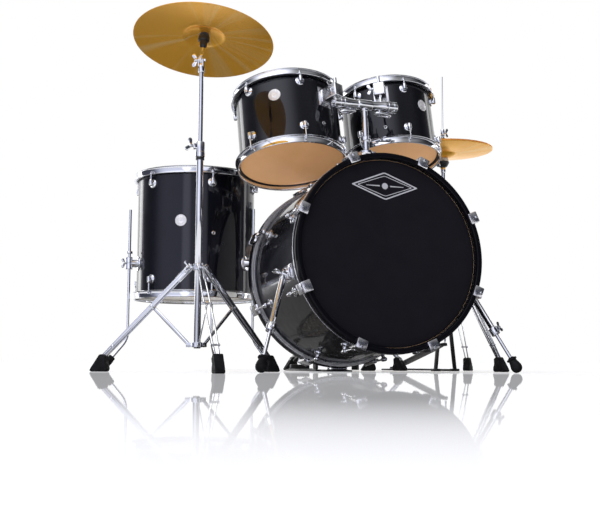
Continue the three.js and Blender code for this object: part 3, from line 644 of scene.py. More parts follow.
def lugs_and_rods(drum, angles, heights):
    """Round lugs, the key rods that run from them through the hoops, and the rods' washers."""
    lugs, rods = Shape(), Shape()
    rod_circle = drum.radius + ROD_OFFSET
    for angle in angles:
        for height, toward, edge in ((heights[0], -1, 0.0), (heights[1], 1, drum.height)):
            lug(lugs, radial(angle, drum.outer, height), TOM_LUG_BASE, 5.4, rod_circle - drum.outer, toward)
            flange = edge - toward * FLANGE_AT
            ends = [polar(rod_circle, angle, z) for z in (height + toward * 13, flange + toward * 3)]
            rods.tube(ends, ROD_RADIUS, 12)
            seat = axes(polar(rod_circle, angle, flange), (0, 0, toward), polar(1, angle))
            rods.turned([(0, 0.1), (4.6, 0.1), (4.6, 1.3), (4.1, 1.5), (4.1, 3.0), (3.6, 3.8), (0, 3.8)], 20, seat)
            rods.box((5.6, 5.6, 7.4), (0, 0, 7.0), seat, edge=0.7)
    drum.piece("lugs", lugs, CHROME, "chrome")
    drum.piece("tension_rods", rods, CHROME, "chrome")


def badge(drum, angle, height, radius=19.5):
    """A round badge bent to the shell, with raised rings and a ring of beads."""
    rings = [(0, 1.5), (3.2, 1.5), (3.8, 0.9), (9.5, 0.9), (10.1, 1.35), (11.0, 1.35), (11.6, 0.9),
             (radius - 3, 0.9), (radius - 2.3, 1.7), (radius - 0.8, 1.7), (radius, 0.9), (radius, -0.4), (0, -0.4)]
    shape = Shape().turned(rings, 48)
    for bearing in around(0, 12):
        bead = shift(*polar(13.9, bearing, 0.7))
        shape.turned([(0, -0.3), (1.35, -0.3), (1.2, 0.5), (0.7, 0.9), (0, 1.0)], 10, bead)
    placed = Shape().join(shape.bent(drum.outer), radial(angle, drum.outer + 0.2, height))
    drum.piece("badge", placed, ALUMINIUM, "steel")


def vent(drum, angle, height):
    """A grommet round the air hole, and a black disc in its bore that paints the shade inside the hole."""
    spot = radial(angle, drum.outer, height)
    profile = [(2.9, 0.9), (3.4, 1.7), (4.6, 2.1), (6.0, 1.5), (6.6, 0.2), (6.6, -0.6), (2.9, -0.6)]
    drum.piece("vent", Shape().turned(profile, 28, spot), CAST, "chrome")
    # The hole is not cut: a black disc paints the shade inside it.
    drum.piece("vent_hole", Shape().turned(bar(2.85, -0.5, 0.35), 20, spot), PLASTIC, "black_film")


def steel_hoop_drum(name, body, lug_angles, lug_heights, bottom_look, bottom_slot):
    drum = Drum(name, body)
    films = {"top": (COATED, "coated_film"), "bottom": (bottom_look, bottom_slot)}
    shell(drum)
    for end, at in drum.ends():
        steel_hoop(drum, end, at)
        head(drum, end, at, *films[end])
    lugs_and_rods(drum, lug_angles, lug_heights)
    return drum


def tom_bracket(drum, angle, height, wing_side):
    """The block that clamps a rack tom to its arm: a curved base plate, the casting and its wing bolt."""
    arm = drum.frame.inverted() @ joint_at(f"{drum.name}_swivel")
    reach = math.hypot(arm.x, arm.y) - drum.outer
    spot = radial(angle, drum.outer + 0.4, height)
    shape = Shape().join(Shape().box((66, 50, 3.4), (0, 0, 0.4), edge=1.4).bent(drum.outer), spot)
    shape.box((44, 36, reach + 12), (0, 0, (reach + 14) / 2), spot, edge=3.2, steps=3)
    shape.box((30, 40, 13), (0, 0, reach - 6), spot, edge=2.0)
    for side in (-19, 19):
        for along in (-27, 27):
            shape.turned(button(3.6, 1.6, 1.8), 14, spot @ shift(along, side, -0.2))
    drum.piece("bracket", shape, CAST, "chrome")
    screw = Shape().wing(spot @ axes((6, wing_side * 18, reach), (0, wing_side, 0), (1, 0, 0)), 0.95, 6)
    drum.piece("bracket_wing_bolt", screw, CHROME, "chrome")


LEFT_TOM = steel_hoop_drum("left_tom", "left_tom", around(-155), (62, 217), AMBER, "amber_film")
RIGHT_TOM = steel_hoop_drum("right_tom", "right_tom", around(-153), (60, 200), AMBER, "amber_film")
FLOOR_TOM = steel_hoop_drum("floor_tom", "kit", around(-150), (63, 383), CREAM, "coated_film")
SNARE = steel_hoop_drum("snare", "snare", around(-150), (58, 112), AMBER, "coated_film")
badge(LEFT_TOM, -124, 175)
badge(RIGHT_TOM, -66, 152)
badge(FLOOR_TOM, -119, 254)
vent(LEFT_TOM, -70, 82)
vent(RIGHT_TOM, -121, 64)
vent(FLOOR_TOM, -88, 214)
tom_bracket(LEFT_TOM, -65, 175, 1)
tom_bracket(RIGHT_TOM, -122, 177, 1)


# ---------------------------------------------------------------- bass drum
FRONT = centre("bass_front_head")
BASS_AXIS = (centre("bass_batter_head") - FRONT).normalized()
BASS_START = span("bass_front_hoop", FRONT, BASS_AXIS)[0]
BASS_LENGTH = span("bass_batter_hoop", FRONT, BASS_AXIS)[1] - BASS_START
BASS_FRONT = axes(FRONT + BASS_AXIS * BASS_START, BASS_AXIS)
BASS_BACK = flipped(BASS_FRONT, BASS_LENGTH)
CLAW_ANGLES = around(22.5, 8)
CLAW_ROD = 299.2
BASS_LUG = 116


def bass_shell():
    wrap, ply = shell_profiles(BASS_RADIUS, BASS_BEARING, BASS_LENGTH - BASS_BEARING)
    piece("bass_shell_wrap", Shape().turned(wrap, 160), LACQUER, "kit", "black_lacquer", ["bass_shell"],
          at=BASS_FRONT)
    piece("bass_shell_ply", Shape().turned(ply, 128), MAPLE, "kit", "natural_wood", at=BASS_FRONT)


def bass_hoop(end, at, edge_highlight_band):
    """A wood hoop; silver rings on its inner rim that paint the highlight of its rounded corner; and a chrome band on
    its side that paints the highlight of its rim edge.
    """
    outer, width = BASS_HOOP_OUTER, BASS_HOOP_WIDTH
    inner = outer - BASS_HOOP_WALL
    hoop = [(inner - 6, 2.4), (inner - 5.2, 0.8), (inner - 3.6, 0), (outer - 2.4, 0), (outer - 0.8, 0.8),
            (outer, 2.4), (outer, width - 2.4), (outer - 0.8, width - 0.8), (outer - 2.4, width),
            (inner + 1.2, width), (inner, width - 1.2), (inner, 17), (inner - 5.2, 16.4), (inner - 6, 15)]
    piece(f"bass_{end}_hoop", Shape().turned(hoop, 160), HOOP_LACQUER, "kit", "black_lacquer",
          [f"bass_{end}_hoop"], at=at)
    rings = Shape()
    # Pale rings that paint the highlight of the hoop's rounded corner.
    for rim, inset in ((outer - 1.2, 8.5), (inner + 6.5, 5)):
        rings.turned([(rim, -0.3), (rim - 0.2, 0.3), (rim - inset + 0.2, 0.3), (rim - inset, -0.3)], 160, lift=width)
    piece(f"bass_{end}_hoop_rings", rings, PRINT, "kit", "steel", at=at)
    # A chrome band round the side that paints the highlight of the hoop's rim edge.
    start, stop = edge_highlight_band
    band = Shape().turned([(outer - 0.3, start), (outer + 0.35, start + 0.2), (outer + 0.35, stop - 0.2),
                           (outer - 0.3, stop)], 160)
    piece(f"bass_{end}_hoop_inlay", band, CAST, "kit", "chrome", at=at)


def bass_head(end, at, look, slot):
    """A head inside the hoop, and the head's metal collar."""
    r, rest = BASS_RADIUS, BASS_BEARING - 0.4
    skin = [(0, -0.35), (r - 10, -0.35), (r - 6.5, -0.25), (r - 4.2, 0.7), (r - 2.2, 3), (r - 0.4, 5.5), (r + 0.3, 9),
            (r, 9), (r - 0.8, 5.6), (r - 2.6, 3.3), (r - 4.5, 1.1), (r - 6.6, 0.05), (r - 10, 0), (0, 0)]
    collar = [(r + 0.7, 0), (r + 3.6, 0), (r + 3.9, 0.5), (r + 3.9, 13), (r + 0.7, 13)]
    piece(f"bass_{end}_head", Shape().turned(skin, 128, lift=rest), look, "kit", slot, [f"bass_{end}_head"], at=at)
    piece(f"bass_{end}_head_collar", Shape().turned(collar, 128, lift=rest), STEEL, "kit", "steel", at=at)


def claws_and_rods(end, at):
    """Die-cast claws that hook over a wood hoop, their key rods, and the round lugs that the rods pull on."""
    claws, rods, lugs = Shape(), Shape(), Shape()
    hook = rounded([(279, -0.7), (279, -6), (303, -6), (304.6, -2), (304.6, 25), (302.5, 43), (295.2, 46),
                    (294.3, 42), (294.3, -0.7)], 2, 3)
    for angle in CLAW_ANGLES:
        turn = at @ spin(angle)
        claws.slab(hook, 31, upright(turn), edge=2.6, steps=3)
        claws.box((30, 34, 7), (291, 0, -6.4), turn, edge=3.3, steps=2)
        claws.tube([(CLAW_ROD, 0, 30), (CLAW_ROD, 0, 50)], 6.6, 20, turn, edge=1.5)
        rods.tube([(CLAW_ROD, 0, 0), (CLAW_ROD, 0, BASS_LUG - 14)], 3.1, 14, turn)
        rods.box((6, 6, 4), (CLAW_ROD, 0, -11), turn, edge=0.8)
        lug(lugs, at @ radial(angle, BASS_RADIUS, BASS_LUG), BASS_LUG_BASE, 5.2, CLAW_ROD - BASS_RADIUS, -1, 1.12)
    piece(f"bass_{end}_claws", claws, CAST, "kit", "chrome")
    piece(f"bass_{end}_tension_rods", rods, CHROME, "kit", "chrome")
    piece(f"bass_{end}_lugs", lugs, CHROME, "kit", "chrome")


def lozenge(half_width, half_height, radius):
    return rounded([(-half_width, 0), (0, half_height), (half_width, 0), (0, -half_height)], radius)


def bass_emblem():
    """A plain geometric ornament on the front head: nested lozenges, high on the head."""
    shape = Shape()
    middle = BASS_FRONT @ shift(-6, -197, 18.2)
    for half_width, half_height, line in ((108, 42, 3.8), (90, 31.5, 1.9)):
        slope = math.hypot(half_width, half_height)
        inner = lozenge(half_width - line * slope / half_height, half_height - line * slope / half_width, 5)
        ring_of(shape, lozenge(half_width, half_height, 7), inner, 0.16, middle)
    marks = [[polar(9.5, bearing).to_2d() for bearing in around(0, 24)]]
    marks += [[(hand * 17, -1.9), (hand * 60, -0.8), (hand * 60, 0.8), (hand * 17, 1.9)] for hand in (-1, 1)]
    for mark in marks:
        shape.slab(mark, 0.3, middle, edge=0.05, steps=1)
    piece("bass_front_emblem", shape, PRINT, "kit", "steel", smooth=20)


def ring_of(shape, outer, inner, thickness, matrix):
    """A flat frame between two outlines of the same number of points."""
    n = len(outer)
    verts = [(x, y, z) for z in (-thickness, thickness) for line in (outer, inner) for x, y in line]
    faces = []
    for i in range(n):
        o, u, t, v = (i + k * n for k in range(4))
        p, q, r, s = ((i + 1) % n + k * n for k in range(4))
        faces += [[o, p, q, u], [t, v, s, r], [o, t, r, p], [u, q, s, v]]
    return shape.add(verts, faces, matrix)


def spur_bracket(side_name):
    """The casting on the shell, its ratchet disc and the wing screw that locks the leg."""
    side = SIDES[side_name]
    pivot, axis = joint_at(f"spur_{side_name}_fold"), joint_axis(f"spur_{side_name}_fold")
    outward = axis * side
    local = BASS_FRONT.inverted() @ pivot
    angle = math.degrees(math.atan2(local.y, local.x))
    spot = BASS_FRONT @ radial(angle, BASS_RADIUS + 0.2, local.z)
    shape = Shape().join(Shape().box((62, 48, 4.5), (0, 0, 1), edge=1.8).bent(BASS_RADIUS), spot)
    shape.box((40, 30, 9), (0, 0, 5), spot, edge=2.6, steps=3)
    for x, y in ((-24, -17), (-24, 17), (24, -17), (24, 17)):
        shape.turned(button(4.2, 2, 2.2), 16, spot @ shift(x, y, 2.4))
    disc = axes(pivot, -outward)
    shape.turned([(0, 7.8), (15.5, 7.8), (16.5, 9), (16.5, 12), (13, 14), (12, 20), (0, 20)], 32, disc)
    for bearing in around(0, 18):
        shape.box((5, 1.8, 1.4), (12.6, 0, 7.5), disc @ spin(bearing), edge=0.4, steps=1)
    piece(f"spur_bracket_{side_name}", shape, CAST, "kit", "chrome")
    screw = Shape().wing(axes(pivot + outward * 7.9, outward, BASS_AXIS), 1.15, 4)
    piece(f"spur_wing_screw_{side_name}", screw, CHROME, "kit", "chrome")


def spur_leg(side_name):
    """The upper tube with its knuckle, the clamp, and the rod that slides in it with its rubber foot."""
    pivot, axis = joint_at(f"spur_{side_name}_fold"), joint_axis(f"spur_{side_name}_fold")
    down = -joint_axis(f"spur_{side_name}_extend")
    run = axes(pivot, down, axis)
    length = span(f"spur_rod_{side_name}", pivot, down)[1] - 17
    tube = Shape().turned([(0, 12), (9.6, 12), (9.6, 168), (10.2, 169), (13.6, 171), (13.8, 173), (13.8, 192),
                           (12.6, 194), (7.2, 194), (7.2, 188), (0, 188)], 32, run)
    tube.turned(cuff(0, 15.4, -7.4, 7.4, 0.8), 36, axes(pivot, axis))
    tube.box((13, 22, 20), (0, 0, 12), run, edge=3)
    piece(f"spur_leg_{side_name}", tube, CHROME, f"spur_{side_name}", "chrome", [f"spur_leg_{side_name}"])
    clamp = Shape().box((12, 11, 16), (0, 16.5, 182), run, edge=1.6)
    clamp.wing(run @ axes((0, 21, 182), (0, 1, 0), (0, 0, 1)), 0.85, 3)
    piece(f"spur_clamp_{side_name}", clamp, CHROME, f"spur_{side_name}", "chrome")
    rod = Shape().turned(bar(5.4, 118, length - 26), 24, run)
    piece(f"spur_rod_{side_name}", rod, CHROME, f"spur_{side_name}_rod", "chrome", [f"spur_rod_{side_name}"])
    foot = Shape().turned([(6.4, -33), (9, -33), (9.4, -30), (14.6, -29.4), (15.6, -28), (15.6, -25.5), (14.6, -24),
                           (11.6, -22.5), (12.6, -18), (15.2, -9), (16.8, -2), (16.4, 4), (14.2, 9.5), (10, 13.8),
                           (5, 16), (0, 16.6), (0, -27), (6.4, -27)], 36, run, lift=length)
    piece(f"spur_foot_{side_name}", foot, RUBBER, f"spur_{side_name}_rod", "rubber")


bass_shell()
# The second entry is the span of each hoop's chrome band of painted highlight.
for end, at, edge_highlight_band, look, slot in (("front", BASS_FRONT, (32.5, 35.5), BLACK_FILM, "black_film"),
                                   ("batter", BASS_BACK, (33, 35), COATED, "coated_film")):
    bass_hoop(end, at, edge_highlight_band)
    bass_head(end, at, look, slot)
claws_and_rods("front", BASS_FRONT)
claws_and_rods("batter", BASS_BACK)
bass_emblem()
for side_name in SIDES:
    spur_bracket(side_name)
    spur_leg(side_name)


# ---------------------------------------------------------------- tom holder
def loop_lever(shape, at, start):
    """A clamp screw whose handle is an open oval loop. Z points away from what it clamps, X along the loop."""
    shape.turned([(0, 0), (5, 0), (5, 5), (7.4, 7), (7.4, 16), (5, 18), (0, 18)], 24, at, lift=start)
    oval = [Vector((9 + 25 * math.cos(a), 11.5 * math.sin(a), start + 12 + 3 * math.cos(a)))
            for a in (2 * math.pi * i / 32 for i in range(34))]
    shape.tube(oval, 4.2, 14, at, flat=0.8, width_axis=(0, 0, 1), edge=0.1)


def holder_receiver(tee):
    """The socket on the bass drum's top: a curved plate with screws, the tube and its wing screw."""
    base = BASS_FRONT @ radial(-90, BASS_RADIUS, (BASS_FRONT.inverted() @ tee).z)
    shape = Shape().join(Shape().box((86, 72, 5), (0, 0, 1), edge=2).bent(BASS_RADIUS), base)
    shape.turned([(9.9, 2), (22, 2), (22, 6), (17.5, 11), (16.6, 16), (16.6, 50), (18, 52), (18, 62), (16.6, 63.5),
                  (9.9, 63.5)], 40, base)
    shape.box((26, 12, 18), (0, -20, 52), base, edge=2)
    for x, y in ((-35, -27), (-35, 27), (35, -27), (35, 27)):
        shape.turned(button(4.4, 2, 2.2, 1.2), 16, base @ shift(x, y, 2.2))
    shape.wing(base @ axes((0, -24, 52), (0, -1, 0), (1, 0, 0)), 1.25, 4)
    piece("holder_receiver", shape, CHROME, "kit", "chrome")


def tom_holder():
    """The receiver, the post and the cross tube that both arms turn on."""
    up = joint_axis("holder_height")
    left, right = joint_at("left_tom_tilt"), joint_at("right_tom_tilt")
    tee = Vector((BASS_FRONT.translation.x, left.y, left.z))
    holder_receiver(tee)
    run = axes(tee, up, (1, 0, 0))
    cross = axes(tee, (1, 0, 0), up)
    post = Shape().turned(bar(9.4, -250, -12), 36, run)
    a, b = left.x - tee.x + 16.2, right.x - tee.x - 16.2
    post.turned([(0, a), (17.4, a), (18.4, a + 1.2), (18.4, a + 9), (17, a + 12), (13.6, -25), (15.6, -23.5),
                 (16.6, -21), (16.6, 21), (15.6, 23.5), (13.6, 25), (17, b - 12), (18.4, b - 9), (18.4, b - 1.2),
                 (17.4, b), (0, b)], 44, cross)
    post.turned([(0, -21), (12.4, -21), (12.6, -16), (10.4, -13), (0, -13)], 32, run)
    post.turned(bar(7, a - 34, b + 34), 24, cross)
    piece("holder_post", post, CHROME, "holder", "chrome", ["holder_post"])
    lock = Shape().turned(cuff(9.5, 15.6, 0, 13, 0.8), 36, run @ shift(0, 0, -118))
    lock.box((10, 12, 12), (0, -19, -111.5), run, edge=1.6)
    lock.turned(bar(3.2, 0, 5), 14, run @ axes((0, -25, -111.5), (0, -1, 0)))
    piece("holder_memory_lock", lock, CHROME, "holder", "chrome")
    levers = Shape()
    for x, hand in ((a + 24, -1), (b - 24, 1)):
        loop_lever(levers, axes(tee + Vector((x, 0, 0)), -up, (hand, 0, 0)), 14)
    piece("holder_levers", levers, CHROME, "holder", "chrome")


def tom_arm(side_name):
    """The ratchet knuckle on the cross tube and the bent rod that the tom hangs on."""
    hub = joint_at(f"{side_name}_tom_tilt")
    beside, direction = joint_at(f"{side_name}_tom_swivel"), joint_axis(f"{side_name}_tom_swivel")
    body, node = f"arm_{side_name}", f"holder_arm_{side_name}"
    turn = axes(hub, (1, 0, 0), (0, 0, 1))
    knuckle = Shape().turned([(7.5, -15.3), (17.6, -15.3), (19, -14), (19, -5), (17.4, -3.6), (17.4, 3.6), (19, 5),
                              (19, 14), (17.6, 15.3), (7.5, 15.3)], 44, turn)
    for bearing in around(0, 12):
        knuckle.box((2.2, 3, 20), (17.6, 0, 0), turn @ spin(bearing), edge=0.7, steps=1)
    path = [beside + direction * ((hub.z - beside.z) / direction.z), beside + direction * 46]
    if path[0].y - hub.y > 30:
        path = eased([hub + Vector((0, 12, 0))] + path, 16, 8)
    knuckle.tube(path, 5.5, 20)
    piece(node, knuckle, CHROME, body, "chrome", [node])


tom_holder()
for side_name in SIDES:
    tom_arm(side_name)


# ---------------------------------------------------------------- floor tom legs
FLOOR_BRACKET_HEIGHT = 122
FLOOR_LEG_KNEE, FLOOR_LEG_TOE = 104, 19


def floor_leg(number):
    """A leg with its kink, its rubber foot and its memory lock, and the bracket that holds it."""
    node, body = f"floor_tom_leg_{number}", f"floor_leg_{number}"
    middle = FLOOR_TOM.frame.translation
    away = centre(node) - middle
    angle = round(math.degrees(math.atan2(away.y, away.x)))
    outward = polar(1, angle)
    flat = axes((middle.x, middle.y, 0), (0, 0, 1), outward)
    top = high(node).z
    rod_end = [v for v in points(node) if v.z > top - 1]
    reach = (sum(rod_end, Vector()) / len(rod_end) - flat.translation).dot(outward)
    knee = Vector((reach, 0, FLOOR_LEG_KNEE))
    toe = Vector((span(node, flat.translation, outward)[1] - 13, 0, FLOOR_LEG_TOE))
    rod = Shape().tube(eased([(reach, 0, top), knee, toe], 26, 8), 4.9, 20, flat)
    piece(f"{node}_rod", rod, CHROME, body, "chrome", [node])
    aim = (toe - knee).normalized()
    foot = Shape().turned([(5.1, 0), (9.5, 0), (11.4, 2), (12.2, 6), (11.2, 8), (12.4, 11), (13, 20), (12.6, 32),
                           (10.6, 39), (6, 43.5), (0, 45), (0, 8), (5.1, 8)], 32, flat @ axes(toe - aim * 34, aim))
    foot.verts = [Vector((v.x, v.y, max(v.z, 0))) for v in foot.verts]
    piece(f"{node}_foot", foot, RUBBER, body, "rubber")
    floor_leg_bracket(node, FLOOR_TOM.frame @ radial(angle, FLOOR_TOM.outer + 0.2, FLOOR_BRACKET_HEIGHT),
                      reach - FLOOR_TOM.outer)
    lock = Shape().turned(cuff(5.2, 10.2, 0, 9, 0.6, 0.8), 28,
                          flat @ shift(reach, 0, middle.z + FLOOR_BRACKET_HEIGHT + 32))
    piece(f"{node}_memory_lock", lock, CHROME, body, "chrome")


def floor_leg_bracket(node, spot, gap):
    """A round foot bent to the shell, a neck, and a sleeve round the rod with its wing bolt."""
    foot = Shape().turned([(0, -1), (25, -1), (26, 0.6), (25, 2.6), (20, 4.4), (0, 4.8)], 40).bent(FLOOR_TOM.outer)
    bracket = Shape().join(foot, spot)
    bracket.turned([(0, 2), (15, 2), (13.6, 6), (12.6, gap - 6), (0, gap - 6)], 32, spot)
    bracket.turned([(5.3, -21), (10.6, -21), (12, -19.4), (12, -3), (11, -1.8), (11, 1.8), (12, 3), (12, 19.4),
                    (10.6, 21), (5.3, 21)], 32, spot @ axes((0, 0, gap), (1, 0, 0), (0, 0, 1)))
    bracket.wing(spot @ axes((0, 0, gap + 11), (0, 0, 1), (1, 0, 0)), 0.85, 2)
    piece(f"{node}_bracket", bracket, CHROME, "kit", "chrome")


for number in (1, 2, 3):
    floor_leg(number)


# ---------------------------------------------------------------- tripod legs
def leg_plane(hinge, middle):
    """A leg's own upright plane: X outward from the stand's axis, Y sideways, Z up, at floor level."""
    away = joint_at(hinge) - middle
    return axes(Vector((middle.x, middle.y, 0)), (0, 0, 1), Vector((away.x, away.y, 0)))


def rubber_boot(shape, plane, reach):
    outline = rounded([(-33, 5), (-29, 0), (15, 0), (20, 3.5), (12, 16), (6, 24), (-9, 48.5), (-17, 50), (-29.5, 44),
                       (-28, 26), (-33, 14)], 4, 3)
    shape.slab(outline, 25.5, upright(plane @ shift(reach, 0, 0)), edge=3.6, steps=3)
    for x in (-20, -11, -2):
        shape.box((3.6, 27, 2.4), (reach + x, 0, 8), plane, edge=0.9, steps=1)


def leg_facts(node, plane):
    """A leg's pivot and ankle in its own plane, and the reach of its foot."""
    hinge, outward = joint_at(f"{node}_fold"), plane.to_3x3() @ Vector((1, 0, 0))
    reach = span(node, plane.translation, outward)[1] - BOOT_LENGTH
    pivot = Vector(((hinge - plane.translation).dot(outward), 0, hinge.z))
    return pivot, Vector((reach - 12, 0, ANKLE_HEIGHT)), reach


def double_leg(node, plane, rivet_share):
    """Two flat bars side by side, riveted together, ending in one rubber boot."""
    pivot, ankle, reach = leg_facts(node, plane)
    run = (ankle - pivot).normalized()
    leg = Shape()
    for hand in (-1, 1):
        aside, bow, pinch = (Vector((0, hand * offset, 0)) for offset in (6.2, 8.4, 4.6))
        line = [pivot - run * 6 + aside, pivot.lerp(ankle, 0.3) + bow, pivot.lerp(ankle, 0.7) + bow,
                ankle + run * 5 + pinch]
        leg.tube(eased(line, 40), 6.4, 18, plane, flat=0.25, width_axis=(0, 0, 1))
        leg.tube([pivot - run * 7 + aside * 1.02, pivot + run * 52 + aside * 1.02], 8.2, 18, plane, flat=0.26,
                 width_axis=(0, 0, 1))
    for share in (0.0, rivet_share, 0.86):
        leg.turned([(0, -12), (2.6, -12), (4.4, -10.8), (4.4, -10), (2.5, -9.8), (2.5, 9.8), (4.4, 10),
                    (4.4, 10.8), (2.6, 12), (0, 12)], 18, plane @ axes(pivot.lerp(ankle, share), (0, 1, 0)))
    piece(node, leg, CHROME, node, "chrome", [node])
    boot = Shape()
    rubber_boot(boot, plane, reach)
    piece(f"{node}_foot", boot, RUBBER, node, "rubber")


def ear_collar(planes, height, outer, bore, thickness):
    """A collar round a tube with a pair of ears for each leg."""
    middle = planes[0].translation
    shape = Shape().turned(cuff(bore, outer, height - thickness / 2, height + thickness / 2), 40,
                           shift(middle.x, middle.y, 0))
    for plane in planes:
        shape.box((18, 8.2, 13.5), (outer + 6, 0, height), plane, edge=1.6)
    return shape


# ---------------------------------------------------------------- cymbals
CYMBAL_BORE = 6.5


def cymbal(name, body, at, radius, bow, bell_radius, bell_height):
    """A thin lathed plate: a bowed rim, a raised bell and a bored centre. Z = 0 is the edge's lower corner."""
    def height(r):
        if r >= bell_radius:
            return bow * (1 - ((r - bell_radius) / (radius - bell_radius)) ** 1.55)
        t = (r - CYMBAL_BORE) / (bell_radius - CYMBAL_BORE)
        return bow + bell_height * (1 - t ** 2.3) ** 0.85
    outer = [radius - (radius - bell_radius) * i / 22 for i in range(23)]
    radii = outer + [bell_radius - (bell_radius - CYMBAL_BORE) * i / 14 for i in range(1, 15)]
    top = [(r, height(r) + 1.15) for r in radii]
    under = [(r, height(r)) for r in reversed(radii)]
    rim = [(radius + 0.25, 0.35), (radius + 0.25, 0.8)]
    piece(name, Shape().turned(top + under + rim, 144), BRASS, body, "brass", [name], at=at, smooth=60)


# ---------------------------------------------------------------- crash stand
CRASH_AXIS = Vector((joint_at("crash_tilt").x, joint_at("crash_tilt").y, 0))
CRASH_PIVOT = joint_at("crash_tilt")
CRASH_NORMAL = (joint_at("crash_rock") - CRASH_PIVOT).normalized()
CRASH_RISE = 58


def crash_stand():
    """The base tube with the collar that the struts hang on, the sliding hub, the legs and the struts."""
    column = Matrix.Translation(CRASH_AXIS)
    foot, top = low("crash_base_tube").z, high("crash_base_tube").z
    hub, collar = joint_at("crash_leg_1_fold").z, joint_at("crash_strut_1_fold").z
    clamp = top - CRASH_CLAMP
    tube = Shape().turned([(8, foot), (9.2, foot), (9.6, foot + 0.8), (9.6, clamp), (8, clamp)], 40, column)
    tube.turned([(6.6, -44), (12.4, -44), (13.4, -42.8), (13.4, -30), (12.6, -29), (12.6, -4), (11.4, -0.6), (10, 0),
                 (6.6, 0)], 40, column, lift=top)
    tube.turned(cuff(9.7, 14.2, -7, 7, 0.8), 36, column, lift=collar)
    planes = [leg_plane(f"crash_leg_{i}_fold", CRASH_AXIS) for i in (1, 2, 3)]
    for plane in planes:
        for hand in (-1, 1):
            tube.box((19, 2.4, 12.5), (22, hand * 3.9, collar), plane, edge=0.9)
    tube.box((13, 13, 16), (-15, 0, top - 14), column, edge=2)
    piece("crash_base_tube", tube, CHROME, "kit", "chrome", ["crash_base_tube"])
    ring = Shape().turned([(9.7, -9), (11.8, -9), (12.2, -8.2), (12.2, -5.4), (11.7, -5), (11.7, -4.4), (12.2, -4),
                           (12.2, -1.2), (11.8, -0.6), (9.7, -0.6)], 40, column, lift=clamp)
    piece("crash_clamp_ring", ring, PLASTIC, "kit", "black_metal")
    screw = Shape().wing(column @ axes((-21, 0, top - 14), (-0.94, -0.1, 0.33), (0, 0, 1)), 1.05, 3)
    piece("crash_clamp_wing_screw", screw, CHROME, "kit", "chrome")
    cap = Shape().turned([(0, -3), (8.4, -3), (9.6, -1.6), (9.6, -0.2), (0, -0.2)], 32, column, lift=foot)
    piece("crash_tube_cap", cap, RUBBER, "kit", "rubber")
    sleeve = ear_collar(planes, hub, 15, 10, 18)
    sleeve.box((12, 12, 13), (-19, 0, hub), column, edge=2)
    sleeve.wing(column @ axes((-24, 0, hub), (-1, 0, 0), (0, 0, 1)), 0.9, 2)
    piece("crash_hub", sleeve, CHROME, "crash_hub", "chrome", ["crash_hub"])
    for i, plane in enumerate(planes, 1):
        leg, strut = f"crash_leg_{i}", f"crash_strut_{i}"
        pivot, ankle, _ = leg_facts(leg, plane)
        share = (hub - collar) / 2 / (pivot.z - ankle.z)
        double_leg(leg, plane, share)
        knee = pivot.lerp(ankle, share)
        start = Vector((pivot.x, 0, collar))
        run = (knee - start).normalized() * 5
        form = Shape().tube([start - run, knee + run], 5.4, 16, plane, flat=0.34, width_axis=(0, 0, 1))
        piece(strut, form, CHROME, strut, "chrome", [strut])


